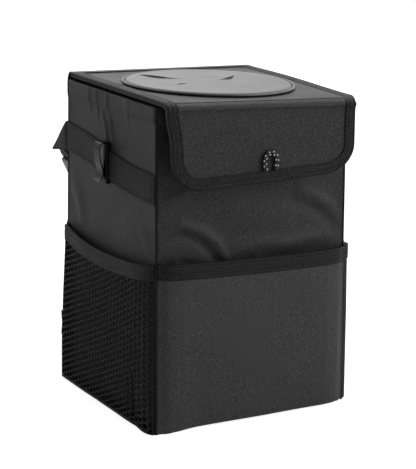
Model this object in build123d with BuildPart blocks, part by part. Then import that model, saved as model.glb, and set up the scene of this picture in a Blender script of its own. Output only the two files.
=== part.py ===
"""Car trash bin: a board-stiffened cloth box with a hinged lid, a front flap, pockets and a strap.

X points right as seen from the front, Y to the back, Z up. The origin is the middle of the base.
All sizes are in millimetres.
"""
import os
from math import cos, radians, sin, tan

from build123d import *

os.makedirs("parts", exist_ok=True)

# Box
body_width = 176.0
body_depth = 170.0
rim_height = 268.0
corner_radius = 6.0

# Sheets and the small gap between two layers
cloth = 1.0
board = 2.0
lining = 0.6
tape = 0.8
layer_gap = 0.1
board_inset = 2.0

# Hem round the rim
hem_height = 9.0

# Front pocket and net pockets
pocket_proud = 7.0
pocket_edge_radius = 6.5
pocket_inset = 3.0
pocket_top = 140.0
pocket_binding_height = 12.5
net_pitch = 13.8
net_bar = 3.4
net_turn = 30.0
net_columns = 12
net_rows = 8
net_bottom_margin = 5.0

# Lid and its hinge at the back
lid_seat = 0.4
lid_board = 2.4
lid_overhang = 20.0
lid_binding_width = 9.0
hinge_bead_radius = 1.6
hinge_rise = 2.2
hinge_tape_drop = 17.0
hinge_clearance = 0.3
lid_back_gap = 4.6
lid_binding_back_gap = 5.8
lid_binding_front_gap = 5.2
lid_hole_radius = 60.0

# Disc with the cross slit
disc_radius = 73.0
disc_thickness = 3.0
disc_edge = 1.0
disc_groove_inset = 5.0
disc_groove_width = 1.6
disc_groove_depth = 0.8
slit_length = 112.0
slit_width = 1.2
slit_angle = 45.0

# Flap
flap_width = 166.0
flap_drop = 68.0
flap_corner = 26.0
flap_root_gap = 0.8
flap_layer_drop = 0.8
flap_binding_width = 9.0
flap_binding_start = 6.5
strip_length = 64.0
strip_height = 16.0
strip_rise = 0.5
strip_thickness = 1.7

# Pull loop on the flap
cord_diameter = 3.2
loop_offset = 3.5
loop_lift = 0.5
bend_share = 0.45

# Webbing on the sides and the strap behind the bin
web_width = 25.0
webbing = 1.4
band_front_inset = 6.2
band_front_drop = 64.7
band_back_drop = 49.5
strap_standoff = 5.0
strap_slope = 65.0
strap_run = 96.0

# Spring hook on the side webbing
hook_width = 12.0
hook_height = 35.0
hook_place = 3.0
hook_drop = 1.0
hook_plate = 3.6
hook_post = 3.2
hook_clearance = 0.3
tongue_thickness = 2.0
tongue_gap = 5.4
tongue_pinch = 2.4
tongue_flare = 6.0
shoulder_bend = 5.0
pinch_bend = 9.0
pinch_rise = 11.7
nub_radius = 0.8

# Side release buckle on the strap
buckle_width = 32.0
buckle_thickness = 9.0
buckle_wall = 1.5
buckle_cheek = 3.2
bar_radius = 2.0
bar_place = 10.0
female_start = 15.0
female_length = 30.0
socket_depth = 25.0
window_depth = 17.0
male_length = 22.0
male_thickness = 6.0
prong_width = 4.0
tongue_width = 8.0
buckle_clearance = 0.4
keeper_thickness = 2.0
keeper_length = 5.0

# Cloth tag in the back left seam
tag_height = 22.0
tag_base = 37.0
tag_reach = 9.0

# Worked out places
half_width = body_width / 2
half_depth = body_depth / 2
tape_reach = layer_gap + tape
hem_top = rim_height - tape
wall_top = hem_top - layer_gap
board_start = cloth + layer_gap
liner_floor = board_start + board + layer_gap
liner_inset = cloth + board + 2 * layer_gap
hinge_y = half_depth + 2 * tape_reach - tape / 2
hinge_z = rim_height + hinge_rise
lid_under = rim_height + lid_seat + tape_reach
lid_board_z = lid_under + lining + layer_gap
lid_cover_z = lid_board_z + lid_board + layer_gap
lid_top = lid_cover_z + cloth
lid_back = hinge_y - lid_back_gap
fold_y = -(half_depth + lid_overhang)
fold_z = lid_top - cloth / 2
flap_top = fold_z - flap_root_gap
flap_bottom = fold_z - flap_drop
flap_stack = cloth + board + lining + 2 * layer_gap
disc_y = (fold_y + hinge_y) / 2


def save(piece, name):
    """Label a finished piece and write it out."""
    piece.part.label = name
    export_step(piece.part, f"parts/{name}.step")


def facing_front(y):
    """Upright plane at depth y: its x is X, its y is Z, and a negative extrude goes back."""
    return Plane(origin=(0, y, 0), x_dir=(1, 0, 0), z_dir=(0, -1, 0))


def facing_side(x):
    """Upright plane at x: its x is Y, its y is Z, and a positive extrude goes to +X."""
    return Plane.YZ.offset(x)


# Cloth walls, mitred at the corner seams
seam_reach = 2 * corner_radius


def mitred(first, last):
    """Plan of one wall's share of the box, between the seams at two of its corners."""
    outer = [(x * half_width, y * half_depth) for x, y in (first, last)]
    inner = [(x * (half_width - seam_reach), y * (half_depth - seam_reach)) for x, y in (last, first)]
    return outer + inner


wall_corners = {
    "front_panel": ((-1, -1), (1, -1)),
    "back_panel": ((-1, 1), (1, 1)),
    "left_panel": ((-1, -1), (-1, 1)),
    "right_panel": ((1, -1), (1, 1)),
}
for wall_name, corners in wall_corners.items():
    with BuildPart() as wall:
        with BuildSketch(Plane.XY.offset(cloth)):
            RectangleRounded(body_width, body_depth, corner_radius)
            RectangleRounded(
                body_width - 2 * cloth, body_depth - 2 * cloth, corner_radius - cloth, mode=Mode.SUBTRACT
            )
            with BuildLine():
                Polyline(*mitred(*corners), close=True)
            make_face(mode=Mode.INTERSECT)
        extrude(amount=wall_top - cloth)
    save(wall, wall_name)

with BuildPart() as base_panel:
    with BuildSketch():
        RectangleRounded(body_width, body_depth, corner_radius)
    extrude(amount=cloth)
save(base_panel, "base_panel")

# Stiffening boards between the cloth and the liner
with BuildPart() as base_board:
    with BuildSketch(Plane.XY.offset(board_start)):
        RectangleRounded(
            body_width - 2 * board_start, body_depth - 2 * board_start, corner_radius - board_start
        )
    extrude(amount=board)
save(base_board, "base_board")

board_height = wall_top - liner_floor - layer_gap
board_middle = liner_floor + layer_gap + board_height / 2
for side, board_name in ((-1, "front_board"), (1, "back_board")):
    with BuildPart() as wall_board:
        with BuildSketch(facing_front(side * (half_depth - board_start))):
            with Locations((0, board_middle)):
                Rectangle(body_width - 2 * (corner_radius + board_inset), board_height)
        extrude(amount=side * board)
    save(wall_board, board_name)
for side, board_name in ((-1, "left_board"), (1, "right_board")):
    with BuildPart() as wall_board:
        with BuildSketch(facing_side(side * (half_width - board_start))):
            with Locations((0, board_middle)):
                Rectangle(body_depth - 2 * (corner_radius + board_inset), board_height)
        extrude(amount=-side * board)
    save(wall_board, board_name)

# Waterproof inner bag, open at the top
liner_radius = corner_radius - cloth
with BuildPart() as liner:
    with BuildSketch(Plane.XY.offset(liner_floor)):
        RectangleRounded(body_width - 2 * liner_inset, body_depth - 2 * liner_inset, liner_radius)
    extrude(amount=wall_top - liner_floor)
    offset(amount=-lining, openings=liner.faces().sort_by(Axis.Z)[-1])
save(liner, "liner")

# Hem: a tape folded over the cloth, the board and the liner
hem_inset = liner_inset + lining
with BuildPart() as rim_hem:
    with BuildSketch(Plane.XY.offset(rim_height - hem_height)):
        RectangleRounded(body_width + 2 * tape_reach, body_depth + 2 * tape_reach, corner_radius + tape_reach)
        RectangleRounded(
            body_width - 2 * (hem_inset + tape_reach),
            body_depth - 2 * (hem_inset + tape_reach),
            liner_radius - lining - tape_reach,
            mode=Mode.SUBTRACT,
        )
    extrude(amount=hem_height)
    with BuildSketch(Plane.XY.offset(rim_height - hem_height)):
        RectangleRounded(body_width + 2 * layer_gap, body_depth + 2 * layer_gap, corner_radius + layer_gap)
        RectangleRounded(
            body_width - 2 * (hem_inset + layer_gap),
            body_depth - 2 * (hem_inset + layer_gap),
            liner_radius - lining - layer_gap,
            mode=Mode.SUBTRACT,
        )
    extrude(amount=hem_height - tape, mode=Mode.SUBTRACT)
save(rim_hem, "rim_hem")

# Pockets: each plan has its x along the wall and its y towards the inside of the bin
front_plan = Plane(origin=(0, -half_depth, 0), x_dir=(1, 0, 0), z_dir=(0, 0, 1))
left_plan = Plane(origin=(-half_width, 0, 0), x_dir=(0, -1, 0), z_dir=(0, 0, 1))
right_plan = Plane(origin=(half_width, 0, 0), x_dir=(0, 1, 0), z_dir=(0, 0, 1))


def pillow(wall_width, grow):
    """Plan of a pocket that bulges from its wall, larger all round by grow."""
    end = wall_width / 2 - pocket_inset + grow
    front = -pocket_proud - grow
    with BuildSketch() as outline:
        with BuildLine():
            FilletPolyline(
                (-end, corner_radius),
                (-end, front),
                (end, front),
                (end, corner_radius),
                radius=pocket_edge_radius + grow,
            )
            Line((end, corner_radius), (-end, corner_radius))
        make_face()
    return outline.sketch


def wall_plan(wall_width, wall_depth):
    """Plan of the body behind a pocket's wall, with a small gap round it."""
    with BuildSketch() as outline:
        with Locations((0, wall_depth / 2)):
            RectangleRounded(
                wall_width + 2 * layer_gap, wall_depth + 2 * layer_gap, corner_radius + layer_gap
            )
    return outline.sketch


def pocket_sheet(plan, wall_width, wall_depth):
    """Upright sheet and floor of a pocket, open at the top."""
    with BuildPart() as sheet:
        with BuildSketch(plan.offset(cloth)):
            add(pillow(wall_width, 0))
            add(wall_plan(wall_width, wall_depth), mode=Mode.SUBTRACT)
        extrude(amount=pocket_top - cloth)
        with BuildSketch(plan.offset(2 * cloth)):
            add(pillow(wall_width, -cloth))
        extrude(amount=pocket_top, mode=Mode.SUBTRACT)
    return sheet.part


def pocket_binding(plan, wall_width, wall_depth):
    """Tape folded over the top edge of a pocket's sheet."""
    with BuildPart() as binding:
        with BuildSketch(plan.offset(pocket_top - pocket_binding_height)):
            add(pillow(wall_width, tape_reach))
            add(pillow(wall_width, -cloth - tape_reach), mode=Mode.SUBTRACT)
            add(wall_plan(wall_width, wall_depth), mode=Mode.SUBTRACT)
        extrude(amount=pocket_binding_height + tape_reach)
        with BuildSketch(plan.offset(pocket_top - pocket_binding_height)):
            add(pillow(wall_width, layer_gap))
            add(pillow(wall_width, -cloth - layer_gap), mode=Mode.SUBTRACT)
        extrude(amount=pocket_binding_height + layer_gap, mode=Mode.SUBTRACT)
    return binding.part


with BuildPart() as front_pocket:
    add(pocket_sheet(front_plan, body_width, body_depth))
save(front_pocket, "front_pocket")

with BuildPart() as front_pocket_binding:
    add(pocket_binding(front_plan, body_width, body_depth))
save(front_pocket_binding, "front_pocket_binding")

net_middle = (2 * cloth + net_bottom_margin + pocket_top - pocket_binding_height) / 2
for side, side_name, plan in ((-1, "left", left_plan), (1, "right", right_plan)):
    with BuildPart() as net:
        add(pocket_sheet(plan, body_depth, body_width))
        with BuildSketch(facing_side(side * (half_width + pocket_proud))):
            with Locations((0, net_middle)):
                with HexLocations(net_pitch / 2, net_columns, net_rows):
                    RegularPolygon((net_pitch - net_bar) / 2, 6, major_radius=False, rotation=net_turn)
        extrude(amount=-side * cloth, mode=Mode.SUBTRACT)
    save(net, f"{side_name}_mesh_pocket")
    with BuildPart() as net_binding:
        add(pocket_binding(plan, body_depth, body_width))
    save(net_binding, f"{side_name}_mesh_binding")

# Webbing: sewn slanting along each side, folded at the back corner, hanging as a loop behind the bin
band_front = -half_depth + band_front_inset
band_front_height = rim_height - band_front_drop
band_back_height = rim_height - band_back_drop
strap_near = half_depth + strap_standoff
strap_far = strap_near + web_width
band_slope = (band_back_height - band_front_height) / (half_depth - band_front)
band_half = web_width / 2
fold_middle = band_back_height + band_slope * strap_standoff
strap_top = fold_middle - band_half
run_x = cos(radians(strap_slope))
run_z = -sin(radians(strap_slope))
strap_start_x = -(half_width + webbing)
bend_radius = (-strap_start_x - strap_run * run_x) / sin(radians(strap_slope))
strap_low = strap_top + strap_run * run_z - bend_radius * (1 - run_x)


def on_run(distance, inward=0.0):
    """Point of the left strap run in X and Z, at a distance below its top and inward of it."""
    return (strap_start_x + distance * run_x - inward * run_z, strap_top + distance * run_z + inward * run_x)


def outline(*corners):
    """Plain face with straight sides."""
    with BuildSketch() as shape:
        with BuildLine():
            Polyline(*corners, close=True)
        make_face()
    return shape.sketch


def side_band(side):
    """Slanting band on one side wall with the folded corner behind it."""
    band = outline(
        (band_front, band_front_height - band_half),
        (strap_near, fold_middle - band_half),
        (strap_near, fold_middle + band_half),
        (band_front, band_front_height + band_half),
    )
    folded_corner = outline(
        (strap_near, fold_middle + band_half), (strap_near, strap_top), (strap_far, strap_top)
    )
    with BuildPart() as webbing_side:
        with BuildSketch(facing_side(side * half_width)):
            add(band)
        extrude(amount=side * webbing)
        with BuildSketch(facing_side(side * half_width)):
            add(folded_corner)
        extrude(amount=side * 2 * webbing)
    return webbing_side.part


buckle_offset = male_thickness / 2 + buckle_clearance + webbing / 2
bar_centre = on_run(bar_place, buckle_offset)
loop_inner = bar_radius + hook_clearance
with BuildPart() as left_strap:
    add(side_band(-1))
    with BuildSketch(facing_front(strap_near)):
        with BuildLine():
            Line((strap_start_x, strap_top + webbing), bar_centre)
        trace(line_width=webbing)
        with Locations(bar_centre):
            Circle(loop_inner + webbing)
            Circle(loop_inner, mode=Mode.SUBTRACT)
    extrude(amount=-web_width)
save(left_strap, "left_strap")

male_start = female_start + female_length + buckle_clearance
strap_end = male_start + buckle_clearance
with BuildPart() as right_strap:
    add(side_band(1))
    with BuildSketch(facing_front(strap_near)):
        with BuildLine():
            run_end = on_run(strap_run)
            Line(on_run(strap_end), run_end)
            ThreePointArc(run_end, (0, strap_low), (-run_end[0], run_end[1]))
            Line((-run_end[0], run_end[1]), (-strap_start_x, strap_top + webbing))
        trace(line_width=webbing)
    extrude(amount=-web_width)
save(right_strap, "right_strap")

# Buckle: its plane's x runs down the strap, its y across it, its z out of the loop
buckle_origin = on_run(0, buckle_offset)
buckle_plane = Plane(
    origin=(buckle_origin[0], strap_near + web_width / 2, buckle_origin[1]),
    x_dir=(run_x, 0, run_z),
    z_dir=(run_z, 0, -run_x),
)
socket_width = buckle_width - 2 * buckle_cheek
socket_height = buckle_thickness - 2 * buckle_wall
female_end = female_start + female_length
with BuildPart() as buckle_female:
    with BuildSketch(buckle_plane.offset(-buckle_thickness / 2)):
        with Locations((female_start, 0)):
            RectangleRounded(female_length, buckle_width, buckle_cheek, align=(Align.MIN, Align.CENTER))
    extrude(amount=buckle_thickness)
    chamfer(buckle_female.edges().filter_by(GeomType.LINE).group_by(SortBy.LENGTH)[-1], buckle_wall / 2)
    with BuildSketch(buckle_plane.offset(-socket_height / 2)):
        with Locations((female_end, 0)):
            Rectangle(socket_depth, socket_width, align=(Align.MAX, Align.CENTER))
            Rectangle(window_depth, buckle_width, align=(Align.MAX, Align.CENTER))
    extrude(amount=socket_height, mode=Mode.SUBTRACT)
    cheek_middle = (web_width + buckle_width) / 4 + buckle_clearance / 2
    cheek_width = (buckle_width - web_width) / 2 - buckle_clearance
    with BuildSketch(buckle_plane.offset(-bar_radius)):
        for across in (-cheek_middle, cheek_middle):
            with Locations((bar_place - bar_radius, across)):
                Rectangle(
                    female_start + buckle_cheek - bar_place + bar_radius,
                    cheek_width,
                    align=(Align.MIN, Align.CENTER),
                )
    extrude(amount=2 * bar_radius)
    bar_plane = Plane(
        origin=buckle_plane.from_local_coords((bar_place, -buckle_width / 2, 0)), z_dir=buckle_plane.y_dir
    )
    with BuildSketch(bar_plane):
        Circle(bar_radius)
    extrude(amount=buckle_width)
save(buckle_female, "buckle_female")

prong_reach = window_depth - buckle_clearance
prong_middle = (buckle_width - prong_width) / 2
keeper_depth = webbing + 2 * buckle_clearance
with BuildPart() as buckle_male:
    with BuildSketch(buckle_plane.offset(-male_thickness / 2)):
        with Locations((male_start, 0)):
            RectangleRounded(male_length, buckle_width, buckle_cheek, align=(Align.MIN, Align.CENTER))
    extrude(amount=male_thickness)
    prong_thickness = socket_height - 2 * buckle_clearance
    with BuildSketch(buckle_plane.offset(-prong_thickness / 2)):
        with Locations((male_start + buckle_cheek, 0)):
            Rectangle(
                socket_depth + buckle_cheek - buckle_clearance, tongue_width, align=(Align.MAX, Align.CENTER)
            )
        for across in (-prong_middle, prong_middle):
            with Locations((male_start + buckle_cheek, across)):
                Rectangle(prong_reach + buckle_cheek, prong_width, align=(Align.MAX, Align.CENTER))
    extrude(amount=prong_thickness)
    keeper_edge = male_start + male_length
    with BuildSketch(buckle_plane.offset(male_thickness / 2)):
        with Locations((keeper_edge, 0)):
            Rectangle(keeper_length, buckle_width, align=(Align.MAX, Align.CENTER))
    extrude(amount=keeper_depth + keeper_thickness)
    with BuildSketch(buckle_plane.offset(male_thickness / 2)):
        with Locations((keeper_edge, 0)):
            Rectangle(keeper_length, web_width + 2 * buckle_clearance, align=(Align.MAX, Align.CENTER))
    extrude(amount=keeper_depth, mode=Mode.SUBTRACT)
save(buckle_male, "buckle_male")

# Spring hooks: plate and posts over the webbing, tongue joined at the top
band_at_hook = band_front_height + band_slope * (hook_place - band_front)
hook_middle = band_at_hook - hook_drop
hook_base = hook_middle - hook_height / 2
hook_top = hook_middle + hook_height / 2
plate_in = webbing + hook_clearance
plate_out = plate_in + hook_plate
plate_face = half_width + plate_out
tongue_half = tongue_thickness / 2
for side, side_name in ((-1, "left"), (1, "right")):
    with BuildPart() as hook:
        with BuildSketch(facing_front(hook_place - hook_width / 2)):
            with Locations((side * (half_width + (plate_in + plate_out) / 2), hook_middle)):
                Rectangle(hook_plate, hook_height)
            for post_z in (hook_base + hook_post / 2, hook_top - hook_post / 2):
                with Locations((side * (half_width + (hook_clearance + plate_out) / 2), post_z)):
                    Rectangle(plate_out - hook_clearance, hook_post)
            with Locations((side * plate_face, hook_base + pinch_rise)):
                Circle(nub_radius)
            with BuildLine():
                root = (side * (plate_face - tongue_half), hook_top - tongue_half)
                shoulder = (side * (plate_face + tongue_gap + tongue_half), hook_top - tongue_half)
                pinch = (side * (plate_face + tongue_pinch + tongue_half), hook_base + pinch_rise)
                tip = (side * (plate_face + tongue_flare), hook_base + tongue_half)
                FilletPolyline(root, shoulder, pinch, tip, radius=[shoulder_bend, pinch_bend])
            trace(line_width=tongue_thickness)
            with Locations(tip):
                Circle(tongue_half)
        extrude(amount=-hook_width)
    save(hook, f"{side_name}_hook")

# Tag sewn in the back left seam
seam_x_at_corner = half_width - corner_radius * (1 - cos(radians(45)))
seam_y_at_corner = half_depth - corner_radius * (1 - sin(radians(45)))
with BuildPart() as side_tag:
    with BuildSketch(facing_side(-seam_x_at_corner - layer_gap)):
        with Locations((seam_y_at_corner + layer_gap, tag_base)):
            Rectangle(tag_reach, tag_height, align=Align.MIN)
    extrude(amount=-cloth)
save(side_tag, "side_tag")

# Cloth hinge: a leg on the back wall and a round fold on the lid's axis
hinge_length = body_width - 2 * (corner_radius + board_inset)
with BuildPart() as hinge_tape:
    with BuildSketch(facing_side(-hinge_length / 2)):
        with Locations((hinge_y, hinge_z)):
            Circle(hinge_bead_radius)
            Rectangle(tape, hinge_rise + hinge_tape_drop, align=(Align.CENTER, Align.MAX))
    extrude(amount=hinge_length)
save(hinge_tape, "hinge_tape")


# Lid: lining, board and cover round a hole that the disc covers
def lid_plan(front):
    """Plan of one flat layer of the lid from its front edge back, with the round hole in it."""
    with BuildSketch() as plan_shape:
        with Locations((0, front)):
            Rectangle(body_width, lid_back - front, align=(Align.CENTER, Align.MIN))
        with Locations((0, disc_y)):
            Circle(lid_hole_radius, mode=Mode.SUBTRACT)
    return plan_shape.sketch


layer_front = fold_y + flap_stack + tape_reach + hinge_clearance
with BuildPart() as lid_lining:
    with BuildSketch(Plane.XY.offset(lid_under)):
        add(lid_plan(layer_front))
        with Locations((0, hinge_y - hinge_bead_radius - hinge_clearance)):
            Rectangle(hinge_length, lid_back_gap, align=(Align.CENTER, Align.MAX))
    extrude(amount=lining)
save(lid_lining, "lid_lining")

with BuildPart() as lid_stiffener:
    with BuildSketch(Plane.XY.offset(lid_board_z)):
        add(lid_plan(layer_front))
    extrude(amount=lid_board)
save(lid_stiffener, "lid_board")

with BuildPart() as lid_cover:
    with BuildSketch(Plane.XY.offset(lid_cover_z)):
        add(lid_plan(fold_y))
    extrude(amount=cloth)
    with BuildSketch(facing_side(-flap_width / 2)):
        with Locations((fold_y, fold_z)):
            Circle(cloth / 2)
    extrude(amount=flap_width)
save(lid_cover, "lid_cover")

binding_back = hinge_y - lid_binding_back_gap
binding_front = fold_y + lid_binding_front_gap
binding_in = half_width - lid_binding_width
for side, binding_name in ((-1, "lid_binding_left"), (1, "lid_binding_right")):
    with BuildPart() as lid_edge:
        with BuildSketch(facing_front(binding_front)):
            with Locations((side * (binding_in + half_width + tape_reach) / 2, (lid_under + lid_top) / 2)):
                Rectangle(lid_binding_width + tape_reach, lid_top - lid_under + 2 * tape_reach)
            with Locations((side * (binding_in + half_width + layer_gap) / 2, (lid_under + lid_top) / 2)):
                Rectangle(
                    lid_binding_width + layer_gap, lid_top - lid_under + 2 * layer_gap, mode=Mode.SUBTRACT
                )
        extrude(amount=binding_front - binding_back)
    save(lid_edge, binding_name)

# Disc with a stitched groove and a cross slit
disc_base = lid_top + layer_gap
with BuildPart() as slit_disc:
    with BuildSketch(Plane.XY.offset(disc_base)):
        with Locations((0, disc_y)):
            Circle(disc_radius)
    extrude(amount=disc_thickness)
    chamfer(slit_disc.edges().sort_by(Axis.Z)[-1], disc_edge)
    with BuildSketch(Plane.XY.offset(disc_base + disc_thickness)):
        with Locations((0, disc_y)):
            Circle(disc_radius - disc_groove_inset)
            Circle(disc_radius - disc_groove_inset - disc_groove_width, mode=Mode.SUBTRACT)
    extrude(amount=-disc_groove_depth, mode=Mode.SUBTRACT)
    with BuildSketch(Plane.XY.offset(disc_base)):
        with Locations((0, disc_y)):
            for turn in (-slit_angle, slit_angle):
                SlotOverall(slit_length, slit_width, rotation=turn)
    extrude(amount=disc_thickness, mode=Mode.SUBTRACT)
save(slit_disc, "slit_disc")


# Flap: cover, board and lining with a tape over the side and bottom edges
def flap_outline(grow, top):
    """Front view of the flap with round lower corners, larger all round by grow."""
    end = flap_width / 2 + grow
    bottom = flap_bottom - grow
    with BuildSketch() as shape:
        with BuildLine():
            FilletPolyline((-end, top), (-end, bottom), (end, bottom), (end, top), radius=flap_corner + grow)
            Line((end, top), (-end, top))
        make_face()
    return shape.sketch


board_y = fold_y + cloth + layer_gap
lining_y = board_y + board + layer_gap
for layer_name, layer_y, thickness, grow, drop in (
    ("flap_cover", fold_y, cloth, 0, 0),
    ("flap_board", board_y, board, -board_inset, flap_layer_drop),
    ("flap_lining", lining_y, lining, 0, flap_layer_drop),
):
    with BuildPart() as flap_layer:
        with BuildSketch(facing_front(layer_y)):
            add(flap_outline(grow, flap_top - drop))
        extrude(amount=-thickness)
    save(flap_layer, layer_name)

binding_top = fold_z - flap_binding_start
with BuildPart() as flap_binding:
    with BuildSketch(facing_front(fold_y - tape_reach)):
        add(flap_outline(tape_reach, binding_top))
        add(flap_outline(-flap_binding_width, binding_top), mode=Mode.SUBTRACT)
    extrude(amount=-(flap_stack + 2 * tape_reach))
    with BuildSketch(facing_front(fold_y - layer_gap)):
        add(flap_outline(layer_gap, binding_top))
    extrude(amount=-(flap_stack + 2 * layer_gap), mode=Mode.SUBTRACT)
save(flap_binding, "flap_binding")

# Closing strips, one on the front wall and one on the back of the flap
strip_base = flap_bottom + flap_binding_width + strip_rise
flap_back = fold_y + flap_stack + layer_gap
with BuildPart() as loop_strip:
    with BuildSketch(facing_front(-half_depth - layer_gap)):
        with Locations((0, strip_base)):
            Rectangle(strip_length, strip_height, align=(Align.CENTER, Align.MIN))
    extrude(amount=strip_thickness)
save(loop_strip, "loop_strip")

with BuildPart() as hook_strip:
    with BuildSketch(facing_front(flap_back)):
        with Locations((0, strip_base)):
            Rectangle(strip_length, strip_height, align=(Align.CENTER, Align.MIN))
    extrude(amount=-strip_thickness)
save(hook_strip, "hook_strip")

# Pull loop: a cord that rises from the flap's tape and turns back to it
loop_foot = flap_bottom + flap_binding_width + loop_lift
loop_points = [
    (loop_offset - 4.6, loop_foot),
    (loop_offset - 6.6, loop_foot + 8.0),
    (loop_offset - 3.4, loop_foot + 14.2),
    (loop_offset + 3.4, loop_foot + 14.6),
    (loop_offset + 6.4, loop_foot + 8.0),
    (loop_offset + 4.4, loop_foot),
]


def bend_radii(points):
    """Bend at each corner: a share of the shorter run over the tangent of half the turn."""
    radii = []
    for before, corner, after in zip(points, points[1:], points[2:]):
        run_in = Vector(corner) - Vector(before)
        run_out = Vector(after) - Vector(corner)
        half_turn = radians(run_in.get_angle(run_out)) / 2
        radii.append(bend_share * min(run_in.length, run_out.length) / tan(half_turn))
    return radii


loop_radii = bend_radii(loop_points)
with BuildPart() as pull_loop:
    with BuildLine(facing_front(fold_y - layer_gap - cord_diameter / 2)) as loop_path:
        FilletPolyline(*loop_points, radius=loop_radii)
    with BuildSketch(Plane(origin=loop_path.line @ 0, z_dir=loop_path.line % 0)):
        Circle(cord_diameter / 2)
    sweep(path=loop_path.line)
print("pull_loop radii", [round(radius, 1) for radius in loop_radii])
print("pull_loop length", round(sum(edge.length for edge in loop_path.edges()), 2))
save(pull_loop, "pull_loop")
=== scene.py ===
"""Car trash bin, dressed: cloth walls, net pockets, taped edges, webbing and moulded plastic.

Lengths are in metres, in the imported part's frame: X right as seen from the front, Y back, Z up.
"""

import math
from collections import namedtuple

import bmesh
import bpy
import numpy as np
from mathutils import Matrix, Vector


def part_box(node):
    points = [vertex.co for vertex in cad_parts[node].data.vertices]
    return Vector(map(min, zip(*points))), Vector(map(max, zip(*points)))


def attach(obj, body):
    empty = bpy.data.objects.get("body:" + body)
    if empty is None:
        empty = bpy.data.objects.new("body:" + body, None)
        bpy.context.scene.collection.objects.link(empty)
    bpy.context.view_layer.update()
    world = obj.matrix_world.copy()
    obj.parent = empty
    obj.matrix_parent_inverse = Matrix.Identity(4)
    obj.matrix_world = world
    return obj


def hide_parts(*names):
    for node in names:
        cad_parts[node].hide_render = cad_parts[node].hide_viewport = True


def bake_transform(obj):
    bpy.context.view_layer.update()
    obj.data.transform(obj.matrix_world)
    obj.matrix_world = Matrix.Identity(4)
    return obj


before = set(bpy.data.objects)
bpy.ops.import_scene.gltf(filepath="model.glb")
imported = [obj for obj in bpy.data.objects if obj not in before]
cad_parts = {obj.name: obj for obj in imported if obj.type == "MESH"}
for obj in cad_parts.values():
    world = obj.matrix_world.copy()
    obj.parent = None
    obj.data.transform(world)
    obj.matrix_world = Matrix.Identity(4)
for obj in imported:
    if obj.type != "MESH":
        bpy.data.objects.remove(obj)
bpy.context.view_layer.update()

# Photograph: image height in pixels and the camera fitted to it
image_height = 469
focal_pixels = 1700.0
view_azimuth = math.radians(-27.99)
view_elevation = math.radians(13.63)
view_roll = math.radians(0.40)
view_distance = 1.4715
view_target = Vector((0.0, 0.0, 0.1354))
view_right_shift = -0.00338
view_up_shift = -0.00301

# Sheets and threads
cloth = 0.0010
tape = 0.0009
webbing = 0.0014
film = 0.0006
wall_board = 0.0018
lid_board = 0.0019
grid_step = 0.003
wall_step = 0.002
stitch_pitch = 0.0032
stitch_radius = 0.00035
stitch_fill = 0.7
stitch_inset = 0.0024
stitch_sunk = 0.0002
stitch_clear = 0.0001
draw_depth = 0.00035
draw_width = 0.0006

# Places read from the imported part
half_width = -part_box("left_panel")[0].x
half_depth = -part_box("front_panel")[0].y
corner_radius = 0.0025
rim_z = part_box("rim_hem")[1].z
hem_low = rim_z - 0.0135
pocket_proud = -half_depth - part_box("front_pocket")[0].y
pocket_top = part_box("front_pocket")[1].z
pocket_binding_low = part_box("front_pocket_binding")[0].z
lid_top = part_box("lid_cover")[1].z
lid_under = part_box("lid_lining")[0].z
lid_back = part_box("lid_cover")[1].y + 0.0014
tape_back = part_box("lid_binding_left")[1].y
fold_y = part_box("flap_cover")[0].y
flap_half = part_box("flap_cover")[1].x
flap_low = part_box("flap_cover")[0].z
flap_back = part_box("flap_lining")[1].y
flap_corner = 0.026
disc_low, disc_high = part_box("slit_disc")
disc_radius = (disc_high.x - disc_low.x) / 2
disc_y = (disc_high.y + disc_low.y) / 2
hole_radius = 0.060
hinge_low, hinge_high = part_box("hinge_tape")
liner_low, liner_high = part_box("liner")

Wall = namedtuple("Wall", "origin along out width")
walls = {
    "front": Wall((0, -half_depth, 0), (1, 0, 0), (0, -1, 0), 2 * half_width),
    "back": Wall((0, half_depth, 0), (-1, 0, 0), (0, 1, 0), 2 * half_width),
    "left": Wall((-half_width, 0, 0), (0, -1, 0), (-1, 0, 0), 2 * half_depth),
    "right": Wall((half_width, 0, 0), (0, 1, 0), (1, 0, 0), 2 * half_depth),
}
Shape = namedtuple("Shape", "points faces flat")
up_axis = np.array((0.0, 0.0, 1.0))
back_axis = np.array((0.0, 1.0, 0.0))

# How the soft bin has settled: its left wall spread to the back and base, its right side lower
spread_top = 0.0012
spread_base = 0.0045
spread_right = 0.0014
lid_raise = 0.0002
lid_droop = 0.0041
front_droop = 0.0027
droop_limits = (-0.030, 0.100)
lid_play = 0.0009
strap_calm = (0.003, 0.030)

# Front left base corner: its flare to the left and front, how far it sinks and where that starts
corner_flare = (0.0030, 0.0060)
corner_sink = 0.0030
flare_x = 0.050
flare_y = 0.064
sink_height = 0.014
floor_gap = 0.0003


# Mesh tools
def table(*columns):
    """Points from their coordinates: numbers, lists or grids that fit each other."""
    return np.stack(np.broadcast_arrays(*columns), axis=-1)


def directions(angles):
    """Places on a circle of radius one."""
    return table(np.cos(angles), np.sin(angles))


def unit(vectors):
    """Vectors of length one along the last axis."""
    return vectors / np.maximum(np.linalg.norm(vectors, axis=-1, keepdims=True), 1e-12)


def looped(line):
    """A line that ends at its start."""
    return np.vstack([line, line[:1]])


def lengths_along(line):
    """Distance of each point of a line from its start."""
    steps = np.linalg.norm(np.diff(line, axis=0), axis=1)
    return np.concatenate(([0.0], np.cumsum(steps)))


def spread(low, high, step=grid_step):
    """Even places from low to high."""
    return np.linspace(low, high, max(2, int(round(abs(high - low) / step)) + 1))


def resample(line, values, places):
    """Values that belong to a line's points, read at distances from its start."""
    along = lengths_along(line)
    return np.stack([np.interp(places, along, column) for column in values.T], axis=1)


def even(line, step):
    """The same line with points at about equal steps."""
    line = np.asarray(line, float)
    return resample(line, line, spread(0, lengths_along(line)[-1], step))


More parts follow.
